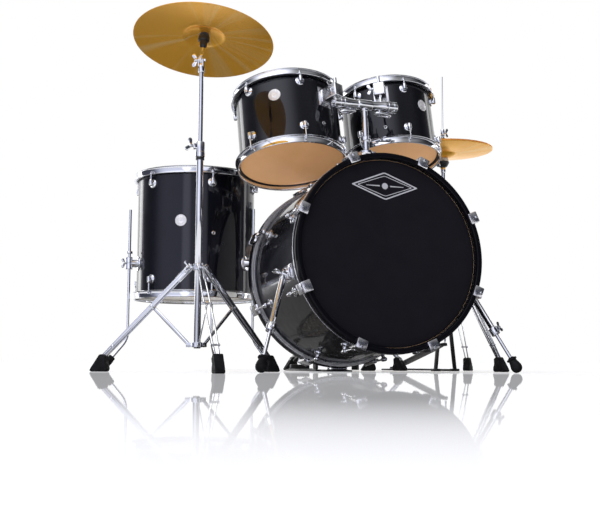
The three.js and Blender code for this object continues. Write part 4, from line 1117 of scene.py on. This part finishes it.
def crash_top():
    """The sliding upper tube, the tilter, the cymbal and what holds it."""
    column = Matrix.Translation(CRASH_AXIS)
    hinge = joint_axis("crash_tilt")
    bottom, pivot = low("crash_upper_tube").z, CRASH_PIVOT.z
    tube = Shape().turned([(0, bottom), (6.3, bottom), (6.3, pivot - 40), (8.6, pivot - 38), (9.4, pivot - 36),
                           (9.4, pivot - 16), (8.2, pivot - 13), (0, pivot - 13)], 36, column)
    cheek = rounded([(-9, -22), (9, -22), (10, 0), (7, 8), (0, 11.5), (-7, 8), (-10, 0)], 4, 4)
    for side in (-6.6, 6.6):
        tube.slab(cheek, 3.2, axes(CRASH_PIVOT + hinge * side, hinge, Vector((0, 0, 1)).cross(hinge)), edge=0.8)
    tube.turned([(0, -13.5), (5, -13.5), (5.6, -12.4), (5.6, -8.4), (0, -8.4)], 6, axes(CRASH_PIVOT, hinge))
    piece("crash_upper_tube", tube, CHROME, "crash_upper", "chrome", ["crash_upper_tube"])
    left = hinge if hinge.x < 0 else -hinge
    screw = Shape().wing(axes(CRASH_PIVOT + left * 8.4, left, (0, 0, 1)), 1.05, 3)
    piece("crash_tilter_wing_screw", screw, CHROME, "crash_upper", "chrome")
    stem, disc = axes(CRASH_PIVOT, CRASH_NORMAL), axes(CRASH_PIVOT, hinge)
    tilter = Shape().turned(cuff(0, 12, -4.6, 4.6, 1, 0.8), 40, disc)
    tilter.turned([(0, 0), (6.4, 0), (6.4, 16), (5.2, 19), (4.2, 28), (3.7, 34), (3.7, 103), (3.2, 104), (0, 104)],
                  28, stem)
    for bearing in around(0, 20):
        tilter.box((2.2, 1.4, 8.4), (11.8, 0, 0), disc @ spin(bearing), edge=0.4, steps=1)
    piece("crash_tilter", tilter, CHROME, "crash_tilter", "chrome", ["crash_tilter"])
    cup = Shape().turned([(3.9, 44), (9.6, 44), (10.6, 45), (11.4, 60), (15.6, 62), (16.4, 63), (16.4, 73.2),
                          (15.4, 74.2), (3.9, 74.2)], 36, stem)
    piece("crash_sleeve", cup, PLASTIC, "crash_tilter", "black_metal")
    washers = Shape().turned([(4.2, 74.6), (13.6, 74.6), (14.8, 76.4), (14.8, 82.6), (13.4, 84.6), (4.2, 85)], 36,
                             stem)
    washers.turned([(4.2, 92.2), (11, 92.2), (12.2, 93.4), (12.2, 96.2), (11, 97.6), (4.2, 97.6)], 36, stem)
    piece("crash_felts", washers, DARK_FELT, "crash_tilter", "felt")
    nut = Shape().wing(stem @ shift(0, 0, 97.8), 0.72, 1)
    piece("crash_wing_nut", nut, CHROME, "crash_tilter", "chrome")
    plate = axes(CRASH_PIVOT + CRASH_NORMAL * CRASH_RISE, CRASH_NORMAL)
    radius = girth("crash_cymbal", plate.translation, CRASH_NORMAL)
    cymbal("crash_cymbal", "crash_cymbal", plate, radius - 0.3, 17, 60, 13.5)


crash_stand()
crash_top()


# ---------------------------------------------------------------- hi-hat
HIHAT_BOW, HIHAT_BELL_RADIUS, HIHAT_BELL = 13, 50, 14
HIHAT_HEEL, HIHAT_TOE = (0, 268, 14), (0, 2, 98)


def hihat_frame():
    """The stand's own frame on the floor: X across the footboard, Y back to the heel."""
    stem, across = centre("hihat_upper_tube"), joint_axis("hihat_pedal")
    return axes((stem.x, stem.y, 0), (0, 0, 1), across if across.x > 0 else -across)


HIHAT = hihat_frame()


def hihat_base():
    """The lower tube with its hub and leg ears, and the black A-frame that carries the footboard."""
    planes = [leg_plane(f"hihat_leg_{i}_fold", HIHAT.translation) for i in (1, 2, 3)]
    hub, top = joint_at("hihat_leg_1_fold").z, high("hihat_stand").z
    tube = Shape().turned([(8.6, 200), (10.6, 200), (11, 201), (11, top - 34), (8.6, top - 34)], 40, HIHAT)
    tube.turned([(8.6, -32), (13.8, -32), (14.8, -31), (14.8, -17), (13.8, -16), (13.8, -4), (12.8, 0), (8.6, 0)], 40,
                HIHAT, lift=top)
    tube.box((13, 13, 16), (17, 0, top - 16), HIHAT, edge=2)
    tube.wing(HIHAT @ axes((23, 0, top - 16), (1, 0, 0.1), (0, 0, 1)), 1.05, 3)
    piece("hihat_lower_tube", tube, CHROME, "kit", "chrome", ["hihat_stand"])
    collar = ear_collar(planes, hub, 16, 11.2, 18)
    for height in (hub - 12.5, hub + 12.5):
        collar.turned(cuff(11.2, 15, -3, 3, 0.8), 36, HIHAT, lift=height)
    piece("hihat_hub", collar, CHROME, "kit", "chrome")
    ring = Shape().turned([(11.1, -44), (13.4, -44), (13.8, -43), (13.8, -35), (13.4, -34.4), (11.1, -34.4)], 36,
                          HIHAT, lift=top)
    piece("hihat_memory_ring", ring, PLASTIC, "kit", "black_metal")
    stand = Shape()
    for hand in (-1, 1):
        stand.tube([(hand * HIHAT_FRAME_FOOT, 0, 6), (hand * 14, 0, sum(HIHAT_COLLAR) / 2)], 10, 20, HIHAT, flat=0.36, width_axis=(0, 1, 0))
        stand.tube([(hand * 30, 2, 5), (hand * 30, 268, 5)], 3.1, 14, HIHAT)
        stand.box((19, 34, 9), (hand * 44, 0, 4.6), HIHAT, edge=2)
    stand.turned(cuff(11.1, 18.5, *HIHAT_COLLAR, 1, 2), 36, HIHAT)
    stand.box((96, 26, 7), (0, 0, 4.2), HIHAT, edge=1.6)
    stand.box((82, 64, 6), (0, 282, 4), HIHAT, edge=2)
    stand.box((50, 16, 9), (0, 276, 9.8), HIHAT, edge=2.4)
    piece("hihat_frame", stand, BLACK_METAL, "kit", "black_metal")
    for i, plane in enumerate(planes, 1):
        double_leg(f"hihat_leg_{i}", plane, 0.5)


def footboard_frame(heel, toe):
    """A frame on a footboard with Z out of its upper face, its length, and the sense of Y in which its toe lies."""
    run = (toe - heel).normalized()
    up = run.cross(Vector((0, 0, 1)).cross(run).normalized())
    side = run.cross(up)
    at = axes(heel, up, side if side.x > 0 else -side)
    return at, (toe - heel).length, 1 if (at.inverted() @ toe).y > 0 else -1


def hihat_pedal():
    """The footboard with its ribs, its raised sides, toe stop and hinge pin."""
    at, length, forward = footboard_frame(HIHAT @ Vector(HIHAT_HEEL), HIHAT @ Vector(HIHAT_TOE))
    outline = rounded([(-20, 2), (-23, 40), (-23, length - 70), (-17, length - 6), (-9, length + 3),
                       (9, length + 3), (17, length - 6), (23, length - 70), (23, 40), (20, 2)], 8)
    board = Shape().slab([(x, forward * y) for x, y in outline], 4.4, at, edge=1.4, steps=3)
    for i in range(9):
        board.box((32, 3.2, 1.6), (0, forward * (34 + i * 22), 2.6), at, edge=0.7)
    for x in (-21, 21):
        board.box((2.4, length - 100, 3.2), (x, forward * (length * 0.46), 2.4), at, edge=0.9)
    board.box((22, 9, 9), (0, forward * (length - 3), -3.6), at, edge=2)
    board.turned(cuff(0, 4.4, -24, 24, 0.4), 20, at @ axes((0, 0, -2.6), (1, 0, 0)))
    piece("hihat_footboard", board, BLACK_METAL, "hihat_footboard", "black_metal", ["hihat_footboard"])


def chain(shape, start, end, pitch=6.2, width=5.4):
    """A short roller chain that hangs straight between two points."""
    run = end - start
    count = max(2, int(run.length / pitch))
    step = run / count
    half = step.length * 0.68
    link = rounded([(-half, -1.9), (half, -1.9), (half, 1.9), (-half, 1.9)], 1.8, 3)
    for i in range(count):
        at = axes(start + step * (i + 0.5), step.normalized(), (1, 0, 0))
        spread = width * (0.5 if i % 2 else 0.34)
        for x in (-spread, spread):
            shape.slab(link, 0.8, at @ axes((x, 0, 0), (1, 0, 0), (0, 0, 1)), edge=0.2, steps=1)
        shape.turned(bar(1.1, -width * 0.62, width * 0.62), 10, axes(start + step * i, (1, 0, 0)))
    return shape


def hihat_top():
    """The sliding tube, the seat and its felt and screw, the two cymbals, the pull rod and its chain."""
    lower, seat = low("hihat_upper_tube").z, high("hihat_upper_tube").z
    tube = Shape().turned([(3.8, lower), (7.8, lower), (8, lower + 0.6), (8, seat - 44), (9.6, seat - 43),
                           (10.2, seat - 41), (10.2, seat - 25), (9.2, seat - 23.5), (3.8, seat - 23.5)], 36, HIHAT)
    piece("hihat_upper_tube", tube, CHROME, "hihat_upper", "chrome", ["hihat_upper_tube"])
    cup = Shape().turned([(3.8, -23), (10, -23), (15, -20), (21.5, -9), (22.6, -5), (22.6, -3), (21.6, -2), (3.8, -2)],
                         44, HIHAT, lift=seat)
    piece("hihat_seat", cup, PLASTIC, "hihat_upper", "black_metal")
    felt = Shape().turned([(4.2, -1.6), (19, -1.6), (20, -0.6), (20, 8), (18.5, 11), (4.2, 11.4)], 36, HIHAT,
                          lift=seat)
    piece("hihat_seat_felt", felt, FELT, "hihat_upper", "felt")
    aside = HIHAT @ axes((0, 0, seat - 15), (-1, 0, 0))
    screw = Shape().turned(bar(3.2, 8.4, 19), 16, aside).turned(cuff(0, 8.6, 18, 24, 0.6), 18, aside)
    piece("hihat_seat_screw", screw, CHROME, "hihat_upper", "chrome")
    radius = girth("hihat_bottom_cymbal", HIHAT.translation, Vector((0, 0, 1))) - 0.3
    edge = low("hihat_top_cymbal").z
    for name, body, at in (("hihat_bottom_cymbal", "hihat_upper", flipped(HIHAT, high("hihat_bottom_cymbal").z)),
                           ("hihat_top_cymbal", "hihat_rod", HIHAT @ shift(0, 0, edge))):
        cymbal(name, body, at, radius, HIHAT_BOW, HIHAT_BELL_RADIUS, HIHAT_BELL)
    rod_end, rod_top = low("hihat_pull_rod").z, high("hihat_pull_rod").z
    rod = Shape().turned([(0, rod_end), (3.1, rod_end), (3.1, rod_top - 1), (2.4, rod_top), (0, rod_top)], 20, HIHAT)
    piece("hihat_pull_rod", rod, CHROME, "hihat_rod", "chrome", ["hihat_pull_rod"])
    hihat_clutch(edge + HIHAT_BOW + HIHAT_BELL + 1.3)
    link = chain(Shape(), HIHAT @ Vector((0, 0, HIHAT_TOE[2] + 1)), HIHAT @ Vector((0, 0, rod_end + 9)))
    piece("hihat_pull_chain", link, STEEL, "hihat_rod", "steel")


def hihat_clutch(bell):
    """The clutch that holds the top cymbal between two felts, with its nuts and wing screw."""
    clutch = Shape().turned([(3.4, 8.6), (8, 8.6), (8.4, 9.4), (8.4, 15), (6.2, 16), (6.2, 25), (7.8, 26), (8.2, 27),
                             (8.2, 44), (7.4, 46), (3.4, 46)], 32, HIHAT, lift=bell)
    for height in (11.8, 20.5):
        clutch.turned(bar(9.8, height, height + 2.4, 3.4), 6, HIHAT, lift=bell)
    clutch.turned(bar(8.6, -15.5, -11.5, 3.4), 24, HIHAT, lift=bell)
    clutch.wing(HIHAT @ axes((7.4, 0, bell + 36), (1, 0, 0), (0, 0, 1)), 0.86, 5)
    piece("hihat_clutch", clutch, CHROME, "hihat_rod", "chrome")
    felts = Shape().turned([(3.6, 0.4), (13, 0.4), (14.4, 1.8), (14.4, 6.4), (13, 8), (3.6, 8.2)], 32, HIHAT,
                           lift=bell)
    piece("hihat_clutch_felt", felts, FELT, "hihat_rod", "felt")


hihat_base()
hihat_pedal()
hihat_top()


# ---------------------------------------------------------------- snare stand
SNARE_STAND = shift(SNARE.frame.translation.x, SNARE.frame.translation.y, 0)
SNARE_PLANES = [SNARE_STAND @ spin(angle) for angle in (-60, 60, 180)]


def snare_stand():
    """The fixed tripod with its braces and boots."""
    top = SNARE_TUBE_TOP
    tube = Shape().turned([(8.4, 62), (10.6, 62), (11, 63), (11, top), (8.4, top)], 40, SNARE_STAND)
    tube.turned([(8.4, 0.4), (14, 0.4), (15, 1.4), (15, 14), (14, 15), (14, 25), (13, 28), (8.4, 28)], 40,
                SNARE_STAND, lift=top)
    tube.turned(cuff(11.1, 16, 246, 266), 40, SNARE_STAND)
    tube.box((12, 12, 15), (18, 0, top + 14), SNARE_STAND, edge=2)
    tube.wing(SNARE_STAND @ axes((24, 0, top + 14), (1, 0, 0.1), (0, 0, 1)), 0.95, 3)
    legs, boots = Shape(), Shape()
    for plane in SNARE_PLANES:
        for y in (-5.2, 5.2):
            bar_ends = [(x, y, z) for x, z in (SNARE_HIP, SNARE_ANKLE)]
            legs.tube(bar_ends, 6.2, 18, plane, flat=0.24, width_axis=(0, 0, 1))
        tube.box((16, 8, 13), (18, 0, 256), plane, edge=1.6)
        legs.tube([(9, 0, 70), (130, 0, 141)], 5.2, 16, plane, flat=0.55, width_axis=(0, 0, 1))
        for x, z in ((19, 250), (127, 140), (222, 47)):
            legs.turned([(0, -8.2), (2.6, -8.2), (4.2, -7), (4.2, -6.2), (2.4, -6), (2.4, 6), (4.2, 6.2), (4.2, 7),
                         (2.6, 8.2), (0, 8.2)], 18, plane @ axes((x, 0, z), (0, 1, 0)))
        rubber_boot(boots, plane, 240)
    tube.turned(cuff(11.1, 14.4, 62, 77, 0.8), 36, SNARE_STAND)
    piece("snare_stand_base", tube, CHROME, "kit", "chrome", ["snare_stand_base"])
    piece("snare_stand_legs", legs, CHROME, "kit", "chrome")
    piece("snare_stand_boots", boots, RUBBER, "kit", "rubber")


def snare_basket():
    """The sliding tube and the three arms with rubber grips that hold the drum."""
    top = SNARE.frame.translation.z
    basket, grips = Shape(), Shape()
    basket.turned([(0, 250), (7.6, 250), (8, 251), (8, top - 60), (0, top - 60)], 32, SNARE_STAND)
    basket.turned(cuff(0, 17, -74, -46, 1.4, 2), 40, SNARE_STAND, lift=top)
    reach = SNARE.radius + HOOP_FLANGE
    arm = eased([(12, 0, top - 57), (reach - 8, 0, top - 12), (reach + 9, 0, top - 8), (reach + 9, 0, top + 17)], 16)
    grip = rounded([(reach - 12, -5.6), (reach - 12, -13), (reach + 10, -13), (reach + 15, -8), (reach + 15, 18),
                    (reach + 12, 21), (reach + 4, 20), (reach + 2, 10), (reach + 3.2, 3), (reach + 1.4, -5.6)], 3, 3)
    for plane in SNARE_PLANES:
        basket.tube(arm, 5.6, 18, plane, flat=0.55, width_axis=(0, 1, 0))
        grips.slab(grip, 19, upright(plane @ shift(0, 0, top)), edge=2.6, steps=3)
    piece("snare_basket", basket, CHROME, "snare", "chrome", ["snare_basket"])
    piece("snare_basket_grips", grips, RUBBER, "snare", "rubber")


def snare_wires():
    """The coiled wires under the bottom head, between their two end plates."""
    wires = Shape()
    half, below = SNARE.radius - 14, HOOP_RISE - 2.9
    for i in range(16):
        y = -24 + 48 * i / 15
        wires.tube([(-half, y, below), (half, y, below)], 0.75, 8, SNARE.frame, edge=0.2)
    for x in (-half, half):
        wires.box((9, 54, 1.6), (x, 0, below), SNARE.frame, edge=0.6)
    piece("snare_wires", wires, STEEL, "snare", "steel")


def snare_strainer():
    """The strainer with its lever on one side of the shell, and the butt plate on the other."""
    strainer = Shape()
    throw, butt = (SNARE.frame @ radial(angle, SNARE.outer, 52) for angle in (0, 180))
    for spot, size in ((throw, 1.0), (butt, 0.72)):
        strainer.box((54 * size, 26, 7), (4, 0, 3.2), spot, edge=2, steps=3)
        strainer.box((30 * size, 20, 7), (-2, 0, 10), spot, edge=2, steps=3)
        for y in (-9, 9):
            strainer.tube([(-16, y, 9), (-30, y, 7)], 1.6, 10, spot)
    strainer.box((44, 9, 4), (10, 0, 16), throw, edge=1.6, steps=3)
    strainer.turned(cuff(0, 7, 6, 15, 0.6), 16, throw @ shift(-8, 0, 8))
    piece("snare_strainer", strainer, CHROME, "snare", "chrome")


snare_stand()
snare_basket()
snare_wires()
snare_strainer()


# ---------------------------------------------------------------- bass drum pedal
def pedal_frame():
    """The base plate, the two posts with their bearings and the heel hinge."""
    axle, heel = joint_at("bass_beater"), joint_at("bass_pedal")
    at = shift(axle.x, 0, 0)
    front, back = low("pedal_frame").y, high("pedal_frame").y
    frame_form = Shape().box((90, back - front, 5), (0, (front + back) / 2, 2.5), at, edge=1.2)
    post = rounded([(-15, 5), (-12, 60), (-8, axle.z - 24), (-12, axle.z - 6), (-8, axle.z + 12), (8, axle.z + 12),
                    (12, axle.z - 6), (8, axle.z - 24), (12, 60), (15, 5)], 10)
    for hand in (-1, 1):
        foot, bearing = ((hand * PEDAL_POST, axle.y, z) for z in (0, axle.z))
        frame_form.slab(post, 8.6, at @ axes(foot, (1, 0, 0), (0, 1, 0)), edge=2.2, steps=3)
        frame_form.turned(cuff(5.3, 14, -6.2, 6.2, 1, 1.2), 36, at @ axes(bearing, (1, 0, 0)))
        frame_form.box((22, 60, 6), (hand * 46, axle.y, 3.2), at, edge=1.6)
    frame_form.box((70, 18, heel.z - 9), (0, heel.y + 13, (heel.z - 9) / 2 + 0.5), at, edge=3, steps=3)
    frame_form.box((70, 62, 7), (0, heel.y + 2, 4.6), at, edge=2)
    piece("pedal_frame", frame_form, BLACK_METAL, "kit", "black_metal", ["pedal_frame"])
    clamp = Shape().box((54, 40, 9), (0, front + 22, 9), at, edge=2.4, steps=3)
    clamp.wing(at @ axes((30, front + 30, 12), (0.8, 0.3, 0.5), (0, 1, 0)), 0.9, 4)
    for x in (-20, 20):
        clamp.turned(button(4.2, 2.4, 2), 16, at @ shift(x, front + 14, 13))
    piece("pedal_hoop_clamp", clamp, CHROME, "kit", "chrome")
    pedal_spring(at @ shift(PEDAL_SPRING, axle.y + 4, 0))


def pedal_spring(at):
    """The return spring on its threaded rod, beside the right post."""
    spring = Shape()
    coil = [polar(7.2, 360 * i / 14, 40 + 0.44 * i) for i in range(14 * 20)]
    spring.tube(coil, 0.95, 8, at, edge=0.3)
    spring.tube([(0, 0, 8), (0, 0, 40)], 2.2, 14, at)
    spring.turned(bar(6.4, 26, 32), 6, at)
    spring.box((22, 12, 5), (-6, 0, 10), at, edge=1.4)
    piece("pedal_spring", spring, CHROME, "kit", "chrome")


def pedal_board():
    """The footboard: a rounded plate with a raised border, rows of grip studs and a toe stop."""
    at, length, forward = footboard_frame(*board_ends())
    left, right = span("pedal_footboard", joint_at("bass_pedal"), Vector((1, 0, 0)))
    half = (right - left) / 2
    outline = rounded([(-half + 5, 3), (-half, 30), (-half, length - 60), (-half + 12, length - 8),
                       (-10, length + 1), (10, length + 1), (half - 12, length - 8), (half, length - 60),
                       (half, 30), (half - 5, 3)], 14)
    board = Shape().slab([(x, forward * y) for x, y in outline], 4.6, at, edge=1.5, steps=3)
    for row in range(12):
        for column in range(-2, 3):
            x = column * 12.5 + (3 if row % 2 else -3)
            board.turned([(0, 0), (3.4, 0), (3, 1.5), (1.6, 2), (0, 2)], 14,
                         at @ shift(x, forward * (30 + row * 17), 2.2))
    board.box((46, 9, 10), (0, forward * (length - 12), 6), at, edge=3, steps=3)
    for hand in (-1, 1):
        board.box((3, length - 96, 3.4), (hand * (half - 2.4), forward * (length * 0.46), 3), at, edge=1)
    piece("pedal_footboard", board, BLACK_METAL, "pedal_footboard", "black_metal", ["pedal_footboard"])


def board_ends():
    """The middle of the footboard's hinge end and of its toe end."""
    corners = points("pedal_footboard")
    ends = []
    for y in (high("pedal_footboard").y, low("pedal_footboard").y):
        near = [v for v in corners if abs(v.y - y) < 6]
        ends.append(sum(near, Vector()) / len(near))
    return ends


def beater():
    """The axle with its cam and chain, the beater rod and the felt head."""
    axle = joint_at("bass_beater")
    at = Matrix.Translation(axle)
    far = [v - axle for v in points("pedal_beater") if (v - axle).length > 135]
    middle = sum(far, Vector()) / len(far)
    shaft, back = middle.length, middle.normalized()
    across = at @ axes((0, 0, 0), (1, 0, 0))
    parts = Shape().turned(cuff(0, 5, -54, 54, 0.4), 28, across)
    parts.turned([(0, -7.8), (19, -7.8), (20, -6.8), (20, -5), (17, -4), (17, 4), (20, 5), (20, 6.8), (19, 7.8),
                  (0, 7.8)], 44, across)
    parts.box((15, 15, 24), (0, 0, 14), at @ axes((0, 0, 0), back, (1, 0, 0)), edge=2.4, steps=3)
    parts.tube([back * 12, back * (shaft - 8)], 3.9, 18, at)
    parts.turned(bar(3.4, 0, 8), 6, at @ axes(back * 20, (0, back.z, -back.y)) @ shift(0, 0, 6))
    piece("pedal_axle_and_rod", parts, CHROME, "pedal_beater", "chrome", ["pedal_beater"])
    head_at = at @ axes(back * shaft, (0, -back.z, back.y), back)
    pad = Shape().turned([(4, -26), (19, -26), (23, -24.5), (25, -21), (25, 17), (23.4, 22), (18, 25.2), (9, 26),
                          (0, 26), (0, -18), (4, -18)], 44, head_at)
    piece("pedal_beater_felt", pad, FELT, "pedal_beater", "felt")
    core = Shape().turned([(0, -26.4), (5.6, -26.4), (6.4, -25.6), (6.4, -18.4), (0, -18.4)], 24, head_at)
    piece("pedal_beater_core", core, PLASTIC, "pedal_beater", "black_metal")
    rim = axle + Vector((0, 18.6, 0))
    link = chain(Shape(), rim, Vector((rim.x, rim.y, board_ends()[1].z + 12)), 7, 7)
    piece("pedal_chain", link, STEEL, "pedal_beater", "steel")


pedal_frame()
pedal_board()
beater()


# ---------------------------------------------------------------- camera and studio, in metres
VIEW_YAW = math.radians(20.54)
VIEW_PITCH = math.radians(6.32)
VIEW_ROLL = math.radians(0.26)
CAMERA_AT = Vector((-1.1882, -3.0226, 0.0283))
LENS = 59.06
AHEAD = Vector((math.sin(VIEW_YAW), math.cos(VIEW_YAW), 0))
ASIDE = Vector((math.cos(VIEW_YAW), -math.sin(VIEW_YAW), 0))

SENSOR = 36
STRIP_DISTANCE, STRIP_HEIGHT, STRIP_AIM = 2.9, 1.0, Vector((0, 0, 0.55))
STRIPS = (("strip_left", -54, (0.7, 2.4), 14), ("strip_right", 58, (0.45, 2.4), 7))

FLOOR_HALF = 30.0
FLOOR_COLOUR = (0.93, 0.93, 0.935, 1)
SHADE_COLOUR = (0.045, 0.038, 0.03, 1)
FLOOR_GLOW = 0.48
FLOOR_MIRROR = 0.66
FLOOR_SHEEN = 0.22
MIRROR_ROUGHNESS = 0.018
# Smooth steps: the distance where each starts and ends, then its value there.
FLOOR_SHADE = (0.9, 3.0, 0.96, 0.0)
MIRROR_FADE = (2.4, 3.08, 1, 0)
LANE_FRONT = (0.1, 1.0, 0, 1)
LANE_SIDE = (0.55, 1.2, 1, 0)

BACKDROP = 1.0
BACKDROP_EDGES = (62, 36)
ROOM = 0.26
CEILING = 1.5
DARK_SIDE = 0.2
FLAG = 0.25
FLAG_EDGES = (112, 84)
SOFT_WINDOWS = ((-152, 60, 0.65), (-167, 11, 1.1), (159, 10, 1.0))
KIT_ONLY = bpy.data.collections.new("kit_only")


def facing(at, right, up, back):
    matrix = Matrix((right, up, back)).transposed().to_4x4()
    matrix.translation = at
    return matrix


def in_scene(name, data, matrix=None):
    made = bpy.data.objects.new(name, data)
    bpy.context.scene.collection.objects.link(made)
    if matrix is not None:
        made.matrix_world = matrix
    return made


def camera():
    data = bpy.data.cameras.new("camera")
    data.lens, data.sensor_width = LENS, SENSOR
    data.clip_start, data.clip_end = 0.05, 200
    forward = AHEAD * math.cos(VIEW_PITCH) + Vector((0, 0, math.sin(VIEW_PITCH)))
    above = ASIDE.cross(forward)
    right = ASIDE * math.cos(VIEW_ROLL) + above * math.sin(VIEW_ROLL)
    up = above * math.cos(VIEW_ROLL) - ASIDE * math.sin(VIEW_ROLL)
    bpy.context.scene.camera = in_scene("camera", data, facing(CAMERA_AT, right, up, -forward))


def from_view(degrees, distance, height):
    angle = VIEW_YAW + math.radians(degrees)
    return Vector((distance * math.sin(angle), distance * math.cos(angle), height))


def strip_light(name, azimuth, size, power):
    at = from_view(azimuth, STRIP_DISTANCE, STRIP_HEIGHT)
    data = bpy.data.lights.new(name, "AREA")
    data.shape = "RECTANGLE"
    data.size, data.size_y = size
    data.energy = power
    back = (at - STRIP_AIM).normalized()
    across = Vector((0, 0, 1)).cross(back).normalized()
    made = in_scene(name, data, facing(at, across, back.cross(across), back))
    made.visible_camera = False
    made.light_linking.receiver_collection = KIT_ONLY


def stepped(tree, source, stops, kind="SMOOTHSTEP"):
    """A smooth step: stops are the input's start and end, then the output's."""
    inputs = dict(zip(("From Min", "From Max", "To Min", "To Max"), stops))
    return wire(tree, "ShaderNodeMapRange", {"Value": source, **inputs}, "Result", interpolation_type=kind)


def times(tree, first, second):
    return wire(tree, "ShaderNodeMath", {0: first, 1: second}, operation="MULTIPLY")


def along(tree, vector, direction):
    return wire(tree, "ShaderNodeVectorMath", {0: vector, 1: direction}, "Value", operation="DOT_PRODUCT")


def mixed(tree, share, first, second, blend="MIX"):
    inputs = {"Factor": share, "A": first, "B": second}
    return wire(tree, "ShaderNodeMix", inputs, "Result", data_type="RGBA", blend_type=blend)


def floor_gloss(tree):
    place = wire(tree, "ShaderNodeNewGeometry", {}, "Position")
    away = wire(tree, "ShaderNodeVectorMath", {0: place}, "Value", operation="LENGTH")
    offset = wire(tree, "ShaderNodeMath", {0: along(tree, place, ASIDE)}, operation="ABSOLUTE")
    lane = times(tree, stepped(tree, along(tree, place, -AHEAD), LANE_FRONT), stepped(tree, offset, LANE_SIDE))
    level = stepped(tree, lane, (0, 1, FLOOR_SHEEN, FLOOR_MIRROR))
    return times(tree, level, stepped(tree, away, MIRROR_FADE))


def floor_shade(tree):
    place = wire(tree, "ShaderNodeNewGeometry", {}, "Position")
    away = wire(tree, "ShaderNodeVectorMath", {0: place}, "Value", operation="LENGTH")
    return times(tree, stepped(tree, away, FLOOR_SHADE), wire(tree, "ShaderNodeLightPath", {}, "Is Glossy Ray"))


def floor_look():
    material = bpy.data.materials.new("studio_floor")
    material.use_nodes = True
    tree = material.node_tree
    tree.nodes.clear()
    matt, shade = (wire(tree, "ShaderNodeBsdfDiffuse", {"Color": colour}) for colour in (FLOOR_COLOUR, SHADE_COLOUR))
    glow = wire(tree, "ShaderNodeEmission", {"Strength": FLOOR_GLOW})
    mirror = wire(tree, "ShaderNodeBsdfGlossy", {"Color": (1, 1, 1, 1), "Roughness": MIRROR_ROUGHNESS})
    lit = wire(tree, "ShaderNodeAddShader", {0: matt, 1: glow})
    under = wire(tree, "ShaderNodeMixShader", {0: floor_shade(tree), 1: lit, 2: shade})
    floor = wire(tree, "ShaderNodeMixShader", {0: floor_gloss(tree), 1: under, 2: mirror})
    tree.links.new(floor, tree.nodes.new("ShaderNodeOutputMaterial").inputs["Surface"])
    return material


def studio_floor():
    mesh = bpy.data.meshes.new("studio_floor")
    corners = [(x * FLOOR_HALF, y * FLOOR_HALF, 0) for x, y in ((-1, -1), (1, -1), (1, 1), (-1, 1))]
    mesh.from_pydata(corners, [], [(0, 1, 2, 3)])
    mesh.materials.append(floor_look())
    floor = in_scene("studio_floor", mesh)
    KIT_ONLY.objects.link(floor)
    KIT_ONLY.collection_objects[0].light_linking.link_state = "EXCLUDE"


def soft_window(tree, direction, below, azimuth, half_width, level):
    """Adds a tall window with soft edges to the world's light, at an azimuth in degrees from the view."""
    flat = wire(tree, "ShaderNodeVectorMath", {0: direction, 1: (1, 1, 0.35)}, "Vector", operation="MULTIPLY")
    unit = wire(tree, "ShaderNodeVectorMath", {0: flat}, "Vector", operation="NORMALIZE")
    stops = (math.cos(math.radians(half_width)), 1, 0, 1)
    window = stepped(tree, along(tree, unit, from_view(azimuth, 1, 0)), stops, "SMOOTHERSTEP")
    return mixed(tree, window, below, (level * 0.88, level * 0.9, level * 1.06, 1), "ADD")


def room_light(tree, direction):
    """The dim blue-grey room by height: dark below, brightest overhead."""
    height = wire(tree, "ShaderNodeSeparateXYZ", {0: direction}, "Z")
    lift = wire(tree, "ShaderNodeMapRange", {"From Min": -1, "Value": height}, "Result")
    ramp = tree.nodes.new("ShaderNodeValToRGB")
    stops = ramp.color_ramp.elements
    stops[0].position, stops[0].color = 0.0, (0.10, 0.10, 0.11, 1)
    stops[1].position, stops[1].color = 1.0, (CEILING, CEILING, CEILING * 1.04, 1)
    for position, level in ((0.49, 0.3), (0.52, 1.0), (0.66, 1.1)):
        stops.new(position).color = (ROOM * level * 0.9, ROOM * level * 0.95, ROOM * level * 1.25, 1)
    stops.new(0.82).color = (CEILING * 0.96, CEILING * 0.97, CEILING, 1)
    tree.links.new(lift, ramp.inputs["Fac"])
    return ramp.outputs["Color"]


def studio_world():
    """The camera sees plain white."""
    world = bpy.data.worlds.new("studio")
    bpy.context.scene.world = world
    world.use_nodes = True
    tree = world.node_tree
    tree.nodes.clear()
    direction = wire(tree, "ShaderNodeTexCoord", {}, "Generated")
    toward = along(tree, direction, AHEAD + Vector((0, 0, 0.08)))
    edge, flag = ([math.cos(math.radians(degrees)) for degrees in edges] for edges in (BACKDROP_EDGES, FLAG_EDGES))
    dim = stepped(tree, along(tree, direction, -ASIDE), (-0.45, 0.35, DARK_SIDE, 1))
    level = times(tree, dim, stepped(tree, toward, (*flag, 1, FLAG)))
    room = room_light(tree, direction)
    shaded = wire(tree, "ShaderNodeVectorMath", {0: room, "Scale": level}, "Vector", operation="SCALE")
    bright = mixed(tree, stepped(tree, toward, (*edge, 0, 1)), shaded, (BACKDROP, BACKDROP, BACKDROP, 1))
    for window in SOFT_WINDOWS:
        bright = soft_window(tree, direction, bright, *window)
    seen = wire(tree, "ShaderNodeLightPath", {}, "Is Camera Ray")
    background = wire(tree, "ShaderNodeBackground", {"Color": mixed(tree, seen, bright, (1, 1, 1, 1))})
    tree.links.new(background, tree.nodes.new("ShaderNodeOutputWorld").inputs["Surface"])


camera()
studio_floor()
studio_world()
for strip in STRIPS:
    strip_light(*strip)
bpy.context.scene.view_settings.view_transform = "Standard"
